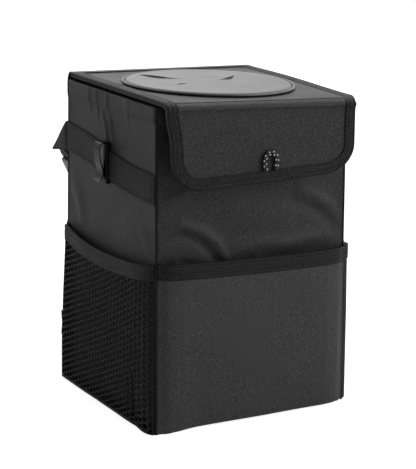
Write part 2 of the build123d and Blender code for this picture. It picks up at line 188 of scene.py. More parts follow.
def smooth_line(points, step):
    """Smooth curve through a few points, as even steps."""
    points = np.asarray(points, float)
    padded = np.vstack((2 * points[0] - points[1], points, 2 * points[-1] - points[-2]))
    t = np.linspace(0, 1, 16, endpoint=False)[:, None]
    parts = []
    for a, b, c, d in zip(padded, padded[1:], padded[2:], padded[3:]):
        cubic = 2 * b + (c - a) * t + (2 * a - 5 * b + 4 * c - d) * t**2 + (3 * b - a - 3 * c + d) * t**3
        parts.append(cubic / 2)
    return even(np.vstack(parts + [points[-1:]]), step)


def smooth_share(value, low, high):
    """Share from 0 to 1 that eases between two limits."""
    share = np.clip((value - low) / (high - low), 0, 1)
    return share * share * (3 - 2 * share)


def grid_faces(index):
    """Four-sided faces between neighbours in a table of point numbers."""
    corners = [index[:-1, :-1], index[:-1, 1:], index[1:, 1:], index[1:, :-1]]
    return np.stack(corners, axis=-1).reshape(-1, 4)


def open_edges(faces, count):
    """Edges that only one face has, in that face's direction."""
    start = faces.ravel()
    end = np.roll(faces, -1, axis=1).ravel()
    single = ~np.isin(start * count + end, end * count + start)
    return start[single], end[single]


def sheet(points, thickness, wrap=False, hole=None):
    """Closed sheet whose outer face is a table of points: columns run right and rows up, seen from outside.

    A wrapped sheet joins its last column to its first. A hole is a middle (x, y) and a radius.
    """
    rows, columns = points.shape[:2]
    count = rows * columns
    index = np.arange(count).reshape(rows, columns)
    if wrap:
        across = np.roll(points, -1, axis=1) - np.roll(points, 1, axis=1)
        index = np.concatenate([index, index[:, :1]], axis=1)
    else:
        across = np.gradient(points, axis=1)
    normals = unit(np.cross(across, np.gradient(points, axis=0)))
    steps = np.linalg.norm(np.diff(points, axis=1, prepend=points[:, :1]), axis=2)
    climbs = np.linalg.norm(np.diff(points, axis=0, prepend=points[:1]), axis=2)
    flat = table(np.cumsum(steps, axis=1), np.cumsum(climbs, axis=0)).reshape(-1, 2)
    faces = grid_faces(index)
    outer = points.reshape(-1, 3).copy()
    inner = (points - thickness * normals).reshape(-1, 3)
    if hole:
        middle, radius = np.array(hole[0]), hole[1]
        inside = np.linalg.norm(outer[faces].mean(axis=1)[:, :2] - middle, axis=1) < radius
        edge = np.intersect1d(faces[inside], faces[~inside])
        for layer in (outer, inner):
            layer[edge, :2] = middle + radius * unit(layer[edge, :2] - middle)
        faces = faces[~inside]
    start, end = open_edges(faces, count)
    rim = np.stack([end, start, start + count, end + count], axis=-1)
    every = np.concatenate([faces, faces[:, ::-1] + count, rim])
    used, renumbered = np.unique(every, return_inverse=True)
    both = np.concatenate([outer, inner])
    return Shape(both[used], renumbered.reshape(every.shape).tolist(), np.concatenate([flat, flat])[used])


def sweep(path, out, up, profile, closed=False):
    """Solid drawn along a path; profile holds places along out and up.

    Each of the two directions and the profile is one for the whole path or one for each of its points.
    """
    out, up = (np.broadcast_to(axis, path.shape)[:, None] for axis in (out, up))
    profile = np.broadcast_to(profile, (len(path),) + np.shape(profile)[-2:])
    points = path[:, None] + profile[..., :1] * out + profile[..., 1:] * up
    rings, corners = points.shape[:2]
    index = np.arange(rings * corners).reshape(rings, corners)
    index = np.concatenate([index, index[:, :1]], axis=1)
    if closed:
        index = looped(index)
    faces = grid_faces(index).tolist()
    if not closed:
        faces += [index[0, :-1].tolist(), index[-1, :-1].tolist()]
    around = np.cumsum(np.linalg.norm(np.diff(profile, axis=1, prepend=profile[:, :1]), axis=2), axis=1)
    return Shape(points.reshape(-1, 3), faces, table(lengths_along(path)[:, None], around).reshape(-1, 2))


def rounded_box(low, high, radius, steps=3):
    """Closed outline of a rectangle with round corners, from its low to its high corner."""
    left, bottom = low[0] + radius, low[1] + radius
    right, top = high[0] - radius, high[1] - radius
    turns = np.linspace(0, math.pi / 2, steps + 1)
    points = []
    for quarter, centre in enumerate(((right, top), (left, top), (left, bottom), (right, bottom))):
        points.append(np.array(centre) + radius * directions(turns + quarter * math.pi / 2))
    return np.vstack(points)


def box_outline(half_x, half_y, radius):
    """Round-cornered rectangle in plan as a closed line, with its outward directions."""
    points, outward = [], []
    for x_side, y_side, start in ((1, -1, -0.5), (1, 1, 0.0), (-1, 1, 0.5), (-1, -1, 1.0)):
        angles = start * math.pi + np.linspace(0, math.pi / 2, 6)
        direction = table(np.cos(angles), np.sin(angles), 0.0)
        centre = np.array((x_side * (half_x - radius), y_side * (half_y - radius), 0.0))
        points.append(centre + radius * direction)
        outward.append(direction)
    points, outward = looped(np.vstack(points)), looped(np.vstack(outward))
    total = lengths_along(points)[-1]
    places = np.linspace(0, total, int(total / grid_step), endpoint=False)
    return resample(points, points, places), unit(resample(points, outward, places))


def tape_section(low, high, rows, radius=0.0008, steps=3):
    """Outline of a tape folded over an edge, drawn in where its rows of stitches run.

    The first axis runs towards the edge and the second out of the face that shows the stitches.
    """
    outline = rounded_box(low, high, radius, steps)
    face = np.arange(high[0] - radius, low[0] + radius, -0.0005)[1:]
    drawn = sum(draw_depth * np.exp(-(((face - row) / draw_width) ** 2)) for row in rows)
    return np.vstack([outline[: steps + 1], table(face, high[1] - drawn), outline[steps + 1 :]])


def tape_rows(width):
    """Places of the two rows of stitches in a tape, inward from the edge it covers."""
    return -stitch_inset, stitch_inset - width


def joined(shapes):
    """One shape from several."""
    faces = []
    start = 0
    for shape in shapes:
        faces += [[start + number for number in face] for face in shape.faces]
        start += len(shape.points)
    return Shape(np.vstack([s.points for s in shapes]), faces, np.vstack([s.flat for s in shapes]))


def copies(faces, size, count):
    """Faces of many like shapes, each with its own points in turn."""
    return [[size * row + number for number in face] for row in range(count) for face in faces]


def stitch_row(line, normals, pitch=stitch_pitch, fill=stitch_fill, radius=stitch_radius):
    """Row of short thread stitches that lie along a line on a surface."""
    line = np.asarray(line, float)
    normals = np.broadcast_to(np.asarray(normals, float), line.shape)
    places = spread(0, lengths_along(line)[-1], pitch)
    spots = resample(line, line, places)
    ahead = np.diff(spots, axis=0)
    up = unit(resample(line, normals, places)[:-1])
    side = unit(np.cross(up, ahead))
    angles = np.linspace(0, 2 * math.pi, 5, endpoint=False)
    ring = radius * (np.cos(angles)[:, None, None] * side + np.sin(angles)[:, None, None] * up)
    ring = ring.transpose(1, 0, 2)
    first = spots[:-1, None] + 0.2 * fill * ahead[:, None]
    last = spots[:-1, None] + 0.8 * fill * ahead[:, None]
    tips = np.stack([spots[:-1], spots[:-1] + fill * ahead], axis=1)
    points = np.concatenate([first + ring, last + ring, tips], axis=1)
    faces = []
    for k in range(5):
        n = (k + 1) % 5
        faces += [[k, n, n + 5, k + 5], [n, k, 10], [k + 5, n + 5, 11]]
    every = points.reshape(-1, 3)
    return Shape(every, copies(faces, 12, len(points)), every[:, :2])


def droop(y):
    """How far the lid's right edge has sunk, more to the front."""
    return lid_droop + front_droop * smooth_share(-y, *droop_limits)


def slumped(points):
    """Points of the bin moved to where its soft walls have settled."""
    x, y, z = np.moveaxis(points, -1, 0)
    high = np.clip(z / rim_z, 0, 1)
    near_wall = 1 - smooth_share(y, half_depth + strap_calm[0], half_depth + strap_calm[1])
    back = np.clip(y / half_depth + 1, 0, 2) / 2 * near_wall
    right = np.clip(x / half_width + 1, 0, 2) / 2 * near_wall
    left_spread = (spread_top + spread_base * (1 - high)) * back
    side = np.where(x < 0, left_spread, spread_right * (1 - high)) * x / half_width
    corner = np.clip((-x - flare_x) / (half_width - flare_x - 0.001), 0, 1) ** 2
    corner = corner * smooth_share(-y, flare_y, half_depth + 0.001)
    flare = corner * np.clip(1 - z / pocket_top, 0, 1)
    sink = corner_sink * corner * np.clip(1 - z / sink_height, 0, 1)
    sink = np.minimum(sink, np.maximum(z - floor_gap, 0))
    settling = -(droop(y) - lid_play) * right * high**2 - sink
    return points + table(side - corner_flare[0] * flare, -corner_flare[1] * flare, settling)


def add_object(name, data):
    """New object in the scene."""
    made = bpy.data.objects.new(name, data)
    bpy.context.scene.collection.objects.link(made)
    return made


def shade(mesh, material, sharp):
    """Give a mesh its one material, smooth but for edges past an angle."""
    mesh.shade_smooth()
    mesh.set_sharp_from_angle(angle=sharp)
    mesh.materials.clear()
    mesh.materials.append(material)


def assign(made, body, stands_for=()):
    """Give a piece its body and hide the CAD nodes it stands for."""
    if body:
        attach(made, body)
    if stands_for:
        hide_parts(*stands_for)


def piece(name, shapes, material, body, stands_for=(), sharp=math.radians(50)):
    """New piece of the part from one shape or several; pieces of the bin settle with it."""
    shape = joined(shapes) if isinstance(shapes, list) else shapes
    points = slumped(shape.points) if body == "bin" else shape.points
    mesh = bpy.data.meshes.new(name)
    mesh.from_pydata(points.tolist(), [], shape.faces)
    layer = mesh.uv_layers.new(name="flat")
    corners = np.zeros(len(mesh.loops), int)
    mesh.loops.foreach_get("vertex_index", corners)
    layer.data.foreach_set("uv", shape.flat[corners].ravel())
    work = bmesh.new()
    work.from_mesh(mesh)
    bmesh.ops.recalc_face_normals(work, faces=work.faces)
    work.to_mesh(mesh)
    work.free()
    shade(mesh, material, sharp)
    made = add_object(name, mesh)
    assign(made, body, stands_for)
    return made


# Material tools
def set_inputs(tree, node, inputs):
    """Set a shader node's inputs; an input is a value or another node's socket."""
    for key, value in inputs.items():
        if isinstance(value, bpy.types.NodeSocket):
            tree.links.new(value, node.inputs[key])
        else:
            node.inputs[key].default_value = value


def add_node(tree, kind, inputs=None, **settings):
    """Outputs of a new shader node with its settings and inputs."""
    made = tree.nodes.new("ShaderNode" + kind)
    for key, value in settings.items():
        setattr(made, key, value)
    set_inputs(tree, made, inputs or {})
    return made.outputs


def calc(tree, operation, first, second=0.0):
    """Result of one Math node."""
    return add_node(tree, "Math", {0: first, 1: second}, operation=operation)[0]


def weighted(tree, first, first_weight, second, second_weight):
    """Weighted sum of two values."""
    first = calc(tree, "MULTIPLY", first, first_weight)
    return calc(tree, "ADD", first, calc(tree, "MULTIPLY", second, second_weight))


def ranged(tree, value, low, high):
    """Value from 0 to 1 spread over a range."""
    return add_node(tree, "MapRange", {0: value, 3: low, 4: high})[0]


def noise(tree, scale, detail=3.0):
    """Cloudy values over the object."""
    place = add_node(tree, "TexCoord")["Object"]
    return add_node(tree, "TexNoise", {"Vector": place, "Scale": scale, "Detail": detail})[0]


def thread_waves(tree, pitches):
    """Sine across threads on each of a surface's two cloth coordinates, and its height without sign."""
    flat = add_node(tree, "UVMap", uv_map="flat")[0]
    axes = add_node(tree, "SeparateXYZ", {0: flat})
    sines = []
    for axis, pitch in zip(axes, pitches):
        sines.append(calc(tree, "SINE", calc(tree, "MULTIPLY", axis, math.pi / pitch)))
    return sines, [calc(tree, "ABSOLUTE", wave) for wave in sines]


def slubby_weave(pitch, scale):
    """Height of a plain weave, warp and weft over and under each other, whose threads are uneven."""

    def height(tree):
        (warp, weft), (warp_height, weft_height) = thread_waves(tree, (pitch, pitch))
        over = calc(tree, "GREATER_THAN", calc(tree, "MULTIPLY", warp, weft), 0.0)
        difference = calc(tree, "SUBTRACT", warp_height, weft_height)
        weave = calc(tree, "ADD", weft_height, calc(tree, "MULTIPLY", over, difference))
        return weighted(tree, weave, 0.5, calc(tree, "SUBTRACT", noise(tree, scale, 1.0), 0.4), 1.8)

    return height


def ribs_along(pitch, cross_pitch):
    """Height of ribs that run along a woven strip, with fine cross threads."""

    def height(tree):
        cross, rib = thread_waves(tree, (cross_pitch, pitch))[1]
        return weighted(tree, rib, 0.7, cross, 0.3)

    return height


def grain(scale):
    """Height of a fine moulded or pressed grain."""
    return lambda tree: noise(tree, scale, 4.0)


def finish_material(name, height, depth, strength, greys, rough, shine, sheen=0.0):
    """Material from a surface height with its depth and strength, and pairs of greys and roughness.

    A shine given as a pair follows the surface height.
    """
    material = bpy.data.materials.new(name)
    material.use_nodes = True
    tree = material.node_tree
    surface = height(tree)
    cloud = noise(tree, 35.0)
    dark, light = ((value, value, value, 1.0) for value in greys)
    # The grey follows the surface height as well as the cloud: where the height is a weave or ribs, raised
    # threads come out lighter and the hollows between them darker, which is painted shade in the hollows;
    # slubs, grain and cloud are uneven tone of the yarn and plastic
    mix = {0: weighted(tree, surface, 0.6, cloud, 0.4), 6: dark, 7: light}
    bump = {"Strength": strength, "Distance": depth, "Height": surface}
    sockets = {
        "Base Color": add_node(tree, "Mix", mix, data_type="RGBA")[2],
        "Roughness": ranged(tree, cloud, *rough),
        "Normal": add_node(tree, "Bump", bump)[0],
        "Specular IOR Level": ranged(tree, surface, *shine) if isinstance(shine, tuple) else shine,
        "Sheen Weight": sheen,
    }
    set_inputs(tree, tree.nodes["Principled BSDF"], sockets)
    return material


def oxford_cloth(name, shine):
    """Oxford cloth with a shine that follows its threads."""
    weave = slubby_weave(0.0011, 1300.0)
    return finish_material(name, weave, 0.0004, 0.5, (0.000, 0.024), (0.45, 0.62), shine, 0.02)


def grainy(name, scale, depth, strength, greys, rough, shine):
    """Material with a fine grain."""
    return finish_material(name, grain(scale), depth, strength, greys, rough, shine)


oxford = oxford_cloth("oxford_cloth", (0.12, 0.64))
# The pocket's cloth is the oxford cloth with more shine: a lit copy that paints the extra light the pocket
# catches as it leans up
lit_pocket_oxford = oxford_cloth("pocket_oxford_cloth", (0.22, 0.90))
edge_tape = finish_material(
    "edge_tape", slubby_weave(0.0013, 800.0), 0.0004, 0.6, (0.001, 0.007), (0.5, 0.65), (0.10, 0.40), 0.01
)
net_yarn = finish_material(
    "net_yarn", ribs_along(0.0004, 0.0007), 0.00015, 0.6, (0.003, 0.010), (0.45, 0.65), 0.20
)
web_yarn = finish_material(
    "webbing_yarn", ribs_along(0.0022, 0.0008), 0.0009, 1.0, (0.002, 0.016), (0.5, 0.65), 0.25, 0.02
)
thread = grainy("sewing_thread", 2500.0, 0.0001, 0.3, (0.008, 0.030), (0.4, 0.55), 0.40)
liner_film = grainy("liner_film", 260.0, 0.0006, 0.3, (0.020, 0.045), (0.3, 0.45), 0.5)
grey_board = grainy("grey_board", 420.0, 0.0002, 0.3, (0.16, 0.26), (0.85, 0.95), 0.2)
disc_rubber = grainy("disc_sheet", 900.0, 0.00010, 0.35, (0.075, 0.095), (0.36, 0.46), 0.60)
moulded = grainy("moulded_plastic", 1500.0, 0.00006, 0.2, (0.003, 0.007), (0.18, 0.28), 0.17)
pile = grainy("closing_pile", 1800.0, 0.0006, 0.9, (0.006, 0.030), (0.8, 0.95), 0.2)
fleck_thread = grainy("fleck_thread", 2500.0, 0.0001, 0.3, (0.62, 0.80), (0.45, 0.6), 0.5)
cord_braid = grainy("cord_braid", 2600.0, 0.0003, 0.7, (0.004, 0.018), (0.5, 0.65), 0.4)


# Folds in the cloth
def ridge(along, up, line, width, height):
    """Height of a soft fold along a line of points on a wall, fading to its ends."""
    nearest = np.full(np.broadcast(along, up).shape, np.inf)
    place = np.zeros(nearest.shape)
    for number, (start, end) in enumerate(zip(line, line[1:])):
        run = np.subtract(end, start)
        share = ((along - start[0]) * run[0] + (up - start[1]) * run[1]) / (run @ run)
        share = np.clip(share, 0, 1)
        far = np.hypot(along - start[0] - share * run[0], up - start[1] - share * run[1])
        place = np.where(far < nearest, (number + share) / (len(line) - 1), place)
        nearest = np.minimum(far, nearest)
    return height * np.sqrt(np.sin(math.pi * place).clip(0)) * np.exp(-((nearest / width) ** 2))


def waves(along, up, seed, scale, height):
    """Gentle uneven waves of about one scale."""
    random = np.random.default_rng(seed)
    total = 0.0
    for _ in range(7):
        turn, phase = random.uniform(0, 2 * math.pi, 2)
        length = scale * random.uniform(0.7, 1.6)
        place = (along * math.cos(turn) + up * math.sin(turn)) / length
        total = total + np.sin(2 * math.pi * place + phase)
    return height * total / 7


# Folds on each wall: width, height and the points of its line, along the wall and up
wall_folds = {
    "front": (
        (0.0045, 0.0030, (-0.086, 0.165), (-0.066, 0.172), (-0.048, 0.165), (-0.035, 0.155),
         (-0.022, 0.136)),
        (0.0045, -0.0016, (-0.084, 0.160), (-0.064, 0.163), (-0.050, 0.157), (-0.040, 0.148),
         (-0.030, 0.134)),
        (0.0060, 0.0022, (-0.087, 0.183), (-0.076, 0.193), (-0.058, 0.199)),
        (0.0055, 0.0030, (0.040, 0.194), (0.062, 0.184), (0.074, 0.176), (0.087, 0.160)),
        (0.0055, -0.0014, (0.030, 0.187), (0.054, 0.177), (0.066, 0.170), (0.080, 0.158)),
        (0.0065, 0.0024, (-0.022, 0.147), (0.006, 0.151), (0.030, 0.148), (0.060, 0.151), (0.087, 0.150)),
        (0.0130, 0.0014, (-0.030, 0.178), (0.010, 0.172), (0.040, 0.166)),
        (0.0030, -0.0014, (-0.087, 0.145), (-0.072, 0.139)),
        (0.0030, -0.0012, (-0.068, 0.143), (-0.054, 0.137)),
    ),
    "left": (
        (0.0016, 0.0010, (-0.040, 0.270), (-0.038, 0.246)),
        (0.0016, 0.0012, (-0.025, 0.270), (-0.023, 0.244)),
        (0.0016, 0.0012, (-0.005, 0.270), (-0.003, 0.244)),
        (0.0016, 0.0009, (0.033, 0.270), (0.035, 0.246)),
        (0.0022, 0.0018, (-0.0150, 0.253), (-0.0064, 0.239), (-0.0027, 0.224)),
        (0.0022, 0.0018, (-0.0005, 0.252), (0.0040, 0.240), (0.0080, 0.226)),
        (0.0080, 0.0020, (-0.080, 0.186), (-0.060, 0.170), (-0.050, 0.146)),
        (0.0060, 0.0018, (0.056, 0.168), (0.070, 0.156), (0.083, 0.140)),
    ),
    "right": (
        (0.0016, 0.0010, (0.036, 0.270), (0.034, 0.246)),
        (0.0022, 0.0016, (0.010, 0.253), (0.002, 0.226)),
        (0.0070, 0.0018, (-0.070, 0.178), (-0.050, 0.150)),
    ),
    "back": (
        (0.0120, 0.0015, (-0.080, 0.050), (-0.040, 0.070), (0.010, 0.060)),
        (0.0090, 0.0015, (0.030, 0.130), (0.060, 0.110), (0.084, 0.070)),
        (0.0080, 0.0014, (-0.084, 0.190), (-0.060, 0.170), (-0.030, 0.165)),
    ),
}
wall_seeds = {"front": 3, "back": 5, "left": 7, "right": 9}
wall_bulge = 0.0012
wall_wave = 0.0005
wave_scale = 0.06
back_proud = 0.0002


def relief(name, along, up):
    """How far a wall's cloth stands out from its flat place; the back hardly does, to clear the strap."""
    width = walls[name].width
    calm = np.clip(1 - (2 * np.abs(along) / width) ** 6, 0, 1)
    total = wall_bulge * np.cos(math.pi * along / width) * np.sin(math.pi * np.clip(up / rim_z, 0, 1))
    total = total + waves(along, up, wall_seeds[name], wave_scale, wall_wave)
    for fold_width, height, *line in wall_folds[name]:
        total = total + ridge(along, up, line, fold_width, height)
    return total * calm if name != "back" else np.minimum(total * calm, back_proud)


def on_wall(name, along, out, up):
    """Points on a wall from places along it, out of it and up it."""
    wall = walls[name]
    along, out, up = np.broadcast_arrays(along, out, up)
    flat = along[..., None] * np.array(wall.along) + out[..., None] * np.array(wall.out)
    return np.array(wall.origin) + flat + up[..., None] * up_axis


def seam_to_seam(width):
    """Places along and out of one wall, with half of each round corner."""
    half = width / 2 - corner_radius
    turn = np.linspace(math.pi / 4, 0, 5)[:-1]
    side = half + corner_radius * np.sin(turn)
    drop = corner_radius * (np.cos(turn) - 1)
    middle = spread(-half, half, wall_step)
    along = np.concatenate([-side, middle, side[::-1]])
    return along, np.concatenate([drop, np.zeros(len(middle)), drop[::-1]])


def make_walls():
    """Outer cloth walls with their folds, one sheet each."""
    for name, wall in walls.items():
        along, drop = seam_to_seam(wall.width)
        up = spread(0.001, rim_z - tape, wall_step)[:, None]
        shape = sheet(on_wall(name, along, drop + relief(name, along, up), up), cloth)
        made = piece(f"{name}_wall_cloth", shape, oxford, "bin", [f"{name}_panel"])


def make_corner_seams():
    """Sewn ridge up each corner, proud of the pockets and the hem, and round the base, in the dark tape
    colour, which also paints the shade of the deep fold up each corner.
    """
    upright = rounded_box((-0.0010, -0.0014), (0.0009, 0.0014), 0.0008, 2)
    around_base = rounded_box((-0.0012, 0.0), (0.0010, 0.0024), 0.0009, 2)
    reach = corner_radius * (1 - math.cos(math.pi / 4))
    height = spread(0.0012, rim_z - 0.001)[:, None]
    proud = 0.0016 * smooth_share(pocket_top + 0.004 - height, 0, 0.006)
    proud = proud + 0.0007 * smooth_share(height, hem_low - 0.002, hem_low + 0.002)
    shapes = []
    for x_side in (-1, 1):
        for y_side in (-1, 1):
            out = unit(np.array((x_side, y_side, 0.0)))
            corner = np.array((x_side * (half_width - reach), y_side * (half_depth - reach), 0.0))
            path = corner + height * up_axis + proud * out
            shapes.append(sweep(path, out, np.cross(up_axis, out), upright))
    path, out = box_outline(half_width - 0.0006, half_depth - 0.0006, corner_radius)
    shapes.append(sweep(path, out, up_axis, around_base, closed=True))
    piece("seam_ridges", shapes, edge_tape, "bin")


hem_inner = -0.0047
hem_stitch_drop = 0.0118
hem_tuck_drop = 0.008
hem_push = 0.002


def hem_relief(path, out):
    """How far the hem is pushed out by the tucks in the cloth under it."""
    left = relief("left", -path[:, 1], rim_z - hem_tuck_drop)
    right = relief("right", path[:, 1], rim_z - hem_tuck_drop)
    return np.where(out[:, 0] < -0.99, left, 0) + np.where(out[:, 0] > 0.99, right, 0)


def make_rim_hem():
    """Folded hem round the rim with its row of stitches."""
    path, out = box_outline(half_width, half_depth, corner_radius)
    push = np.clip(hem_relief(path, out), 0, hem_push)
    profile = rounded_box((hem_inner, hem_low), (tape, rim_z), 0.0013, 4)
    profiles = np.tile(profile, (len(path), 1, 1))
    profiles[..., 0] += np.where(profiles[..., 0] > -0.001, push[:, None], 0)
    shape = sweep(path, out, up_axis, profiles, closed=True)
    piece("rim_hem_cloth", shape, oxford, "bin", ["rim_hem"])
    line = path + out * (tape + push + stitch_clear)[:, None] + up_axis * (rim_z - hem_stitch_drop)
    piece("rim_stitches", stitch_row(looped(line), looped(out)), thread, "bin")


# Pockets: the sag of the top edge in its middle, its slant, the sheet's bulge and the seed of its waves
Pocket = namedtuple("Pocket", "node binding sag slant bulge seed")
pockets = {
    "front": Pocket("front_pocket", "front_pocket_binding", 0.0012, 0.0014, 0.0026, 11),
    "left": Pocket("left_mesh_pocket", "left_mesh_binding", 0.0062, 0.0, 0.0026, 13),
    "right": Pocket("right_mesh_pocket", "right_mesh_binding", 0.0062, 0.0, 0.0026, 13),
}
pocket_radius = 0.004
pocket_base_radius = 0.003
floor_sheet = 0.0008
net_pinch = 0.0030
net_flare = 0.0017


def pocket_plan(name):
    """Line of a pocket's sheet in plan, as places along and out of its wall, with its outward directions.

    The front pocket slopes softly into both corner seams, and a net only into the seam at the front.
    """
    half = walls[name].width / 2
    seam = (half - 0.0006, 0.0015)
    soft = (seam, (half - 0.0040, 0.0028), (half - 0.0090, 0.0054), (half - 0.0200, pocket_proud))
    drawn = (seam, (half - 0.0037, 0.0039), (half - 0.0100, 0.0058), (half - 0.0230, pocket_proud))
    firm = (seam, (half - 0.0026, 0.0050), (half - 0.0080, 0.0066), (half - 0.0170, pocket_proud))
    soft, drawn, firm = (smooth_line(line, 0.001) for line in (soft, drawn, firm))
    arc = directions(np.linspace(0, math.pi / 2, 6)) * pocket_radius
    boxed = np.array((half - 0.0015 - pocket_radius, pocket_proud - pocket_radius)) + arc
    boxed = np.vstack([[(half - 0.0015, -0.0012)], boxed])
    start, end = {"front": (soft, soft), "left": (boxed, drawn), "right": (firm, boxed)}[name]
    line = even(np.vstack([start * (-1, 1), end[::-1]]), 0.0015)
    ahead = np.gradient(line, axis=0)
    return line, unit(table(-ahead[:, 1], ahead[:, 0]))


def pocket_points(name, plan, outward, out, up):
    """Points of a pocket from its plan line, moved out by a distance and up to a height."""
    place = plan + outward * np.asarray(out)[..., None]
    return on_wall(name, place[..., 0], place[..., 1], up)


def pocket_sag(name, along):
    """Drop of a pocket's top edge at places along its wall."""
    place = np.clip(2 * along / walls[name].width, -1, 1)
    return pockets[name].sag * np.cos(math.pi * place / 2) + pockets[name].slant * place


def toward_front(name, along):
    """Places along a side wall, counted towards the front."""
    return along if name == "left" else -along


def pocket_relief(name, along, up):
    """How far a pocket bulges out of its plan.

    A net is drawn in at the top of its back end, and the left one flares to the base at the front.
    """
    half = walls[name].width / 2
    crown = 1 - np.clip(np.abs(along) / half, 0, 1) ** 4
    rise = np.sin(math.pi * np.clip(0.15 + 0.75 * up / pocket_top, 0, 1))
    low = np.clip(1 - up / pocket_top, 0, 1)
    out = crown * (pockets[name].bulge * rise + waves(along, up, pockets[name].seed, 0.05, 0.0006))
    if name == "front":
        return out
    toward = toward_front(name, along)
    if name == "left":
        out = out + net_flare * low * smooth_share(toward, -0.020, 0.050)
    pinch = net_pinch * (1 - np.minimum(1.3 * low, 0.95))
    return out - pinch * smooth_share(-toward, half - 0.060, half - 0.006)


def pocket_floor(name):
    """Cloth that closes a pocket's bottom between its sheet and the wall."""
    plan, outward = pocket_plan(name)
    edge = plan + outward * (pocket_relief(name, plan[:, 0], 0.0014) - 0.0012)[:, None]
    wall_line = table(plan[:, 0], -0.0005)
    place = wall_line + np.linspace(0, 1, 4)[:, None, None] * (edge - wall_line)
    return sheet(on_wall(name, place[..., 0], place[..., 1], 0.0018), floor_sheet)


def make_binding(name):
    """Tape folded over a pocket's top edge, and its two rows of stitches."""
    plan, outward = pocket_plan(name)
    top = pocket_top - pocket_sag(name, plan[:, 0])
    path = pocket_points(name, plan, outward, pocket_relief(name, plan[:, 0], top - 0.006), top)
    wall = walls[name]
    direction = outward[:, :1] * np.array(wall.along) + outward[:, 1:] * np.array(wall.out)
    height = pocket_top - pocket_binding_low
    section = tape_section((-height, -cloth - tape), (tape, tape), tape_rows(height))
    stitches = []
    for level in tape_rows(height):
        line = path[3:-3] + direction[3:-3] * (tape - stitch_sunk) + up_axis * level
        stitches.append(stitch_row(line, direction[3:-3]))
    shape = sweep(path, up_axis, direction, section)
    piece(f"{name}_pocket_tape", shape, edge_tape, "bin", [pockets[name].binding])
    piece(f"{name}_pocket_stitches", stitches, thread, "bin")


def make_front_pocket():
    """Front pocket: a cloth sheet that turns in at its base."""
    plan, outward = pocket_plan("front")
    turn = np.linspace(math.pi / 2, 0, 5)
    turned = 0.001 + pocket_base_radius * (1 - np.sin(turn))
    up = np.concatenate([turned, spread(0.006, pocket_top)])[:, None]
    inset = np.concatenate([pocket_base_radius * (np.cos(turn) - 1), np.zeros(len(up) - len(turn))])
    level = up - pocket_sag("front", plan[:, 0]) * (up / pocket_top)
    out = inset[:, None] + pocket_relief("front", plan[:, 0], level)
    shapes = [sheet(pocket_points("front", plan, outward, out, level), cloth), pocket_floor("front")]
    made = piece("front_pocket_cloth", shapes, lit_pocket_oxford, "bin", ["front_pocket"])
    make_binding("front")


# Net: column and row spacing of its holes, a strand's half thickness, its turned-in ends and its crease
net_column = 0.0060
net_row = 0.0054
net_hole_share = 0.62
net_margin = 0.0008
strand_half = 0.0006
net_low = 0.0015
net_hem = {"left": (0.0088, 0.0010), "right": (0.0060, 0.0088)}
net_base_hem = 0.0025
net_hem_sheet = 0.0010
net_crease = ((0.066, 0.004), (0.059, 0.022), (0.062, 0.046))
crease_width = 0.004
crease_depth = 0.003


def net_cells(length, height):
    """Outer and inner corners of every net cell in a flat strip, as (cells, 12, 2)."""
    tip = (net_column**2 + net_row**2 / 4) / (2 * net_column)
    shoulder = net_column - tip
    upper = ((shoulder, net_row / 2), (-shoulder, net_row / 2), (-tip, 0.0))
    lower = ((-shoulder, -net_row / 2), (shoulder, -net_row / 2), (tip, 0.0))
    corners = np.array(upper + lower)
    middles = (corners + np.roll(corners, -1, axis=0)) / 2
    outer = np.stack([corners, middles], axis=1).reshape(-1, 2)
    hole = np.where(np.arange(12)[:, None] % 2 == 0, 0.94, 1.04) * outer * net_hole_share
    centres = []
    for column in range(int(length / net_column) + 1):
        shift = net_row / 2 if column % 2 else 0.0
        for row in range(int(height / net_row) + 1):
            centres.append((column * net_column, row * net_row + shift))
    centres = np.array(centres)[:, None]
    edge = np.array((length, height))
    return np.clip(centres + outer, 0, edge), np.clip(centres + hole, net_margin, edge - net_margin)


def net_places(name, flat, lift):
    """Points of a net pocket from its flat strip: distance along its plan and height."""
    plan, outward = pocket_plan(name)
    places = flat[..., 0].ravel()
    spots = resample(plan, plan, places)
    facing = unit(resample(plan, outward, places))
    along = spots[:, 0]
    up = net_low + flat[..., 1].ravel()
    up = up - pocket_sag(name, along) * up / pocket_top
    out = np.ravel(lift) + pocket_relief(name, along, up)
    out = out + ridge(toward_front(name, along), up, net_crease, crease_width, -crease_depth)
    return pocket_points(name, spots, facing, out, up).reshape(flat.shape[:-1] + (3,))


def net_edging(name, length, height):
    """Turned-in edges of a net pocket: both ends and the bottom."""
    shapes = []
    start, end = net_hem[name]
    for left, right, top in ((0, start, height), (length - end, length, height), (0, length, net_base_hem)):
        flat = table(spread(left, right, 0.0015), spread(0, top, 0.0020)[:, None])
        shapes.append(sheet(net_places(name, flat, np.full(flat.shape[:-1], 0.0001)), net_hem_sheet))
    return shapes


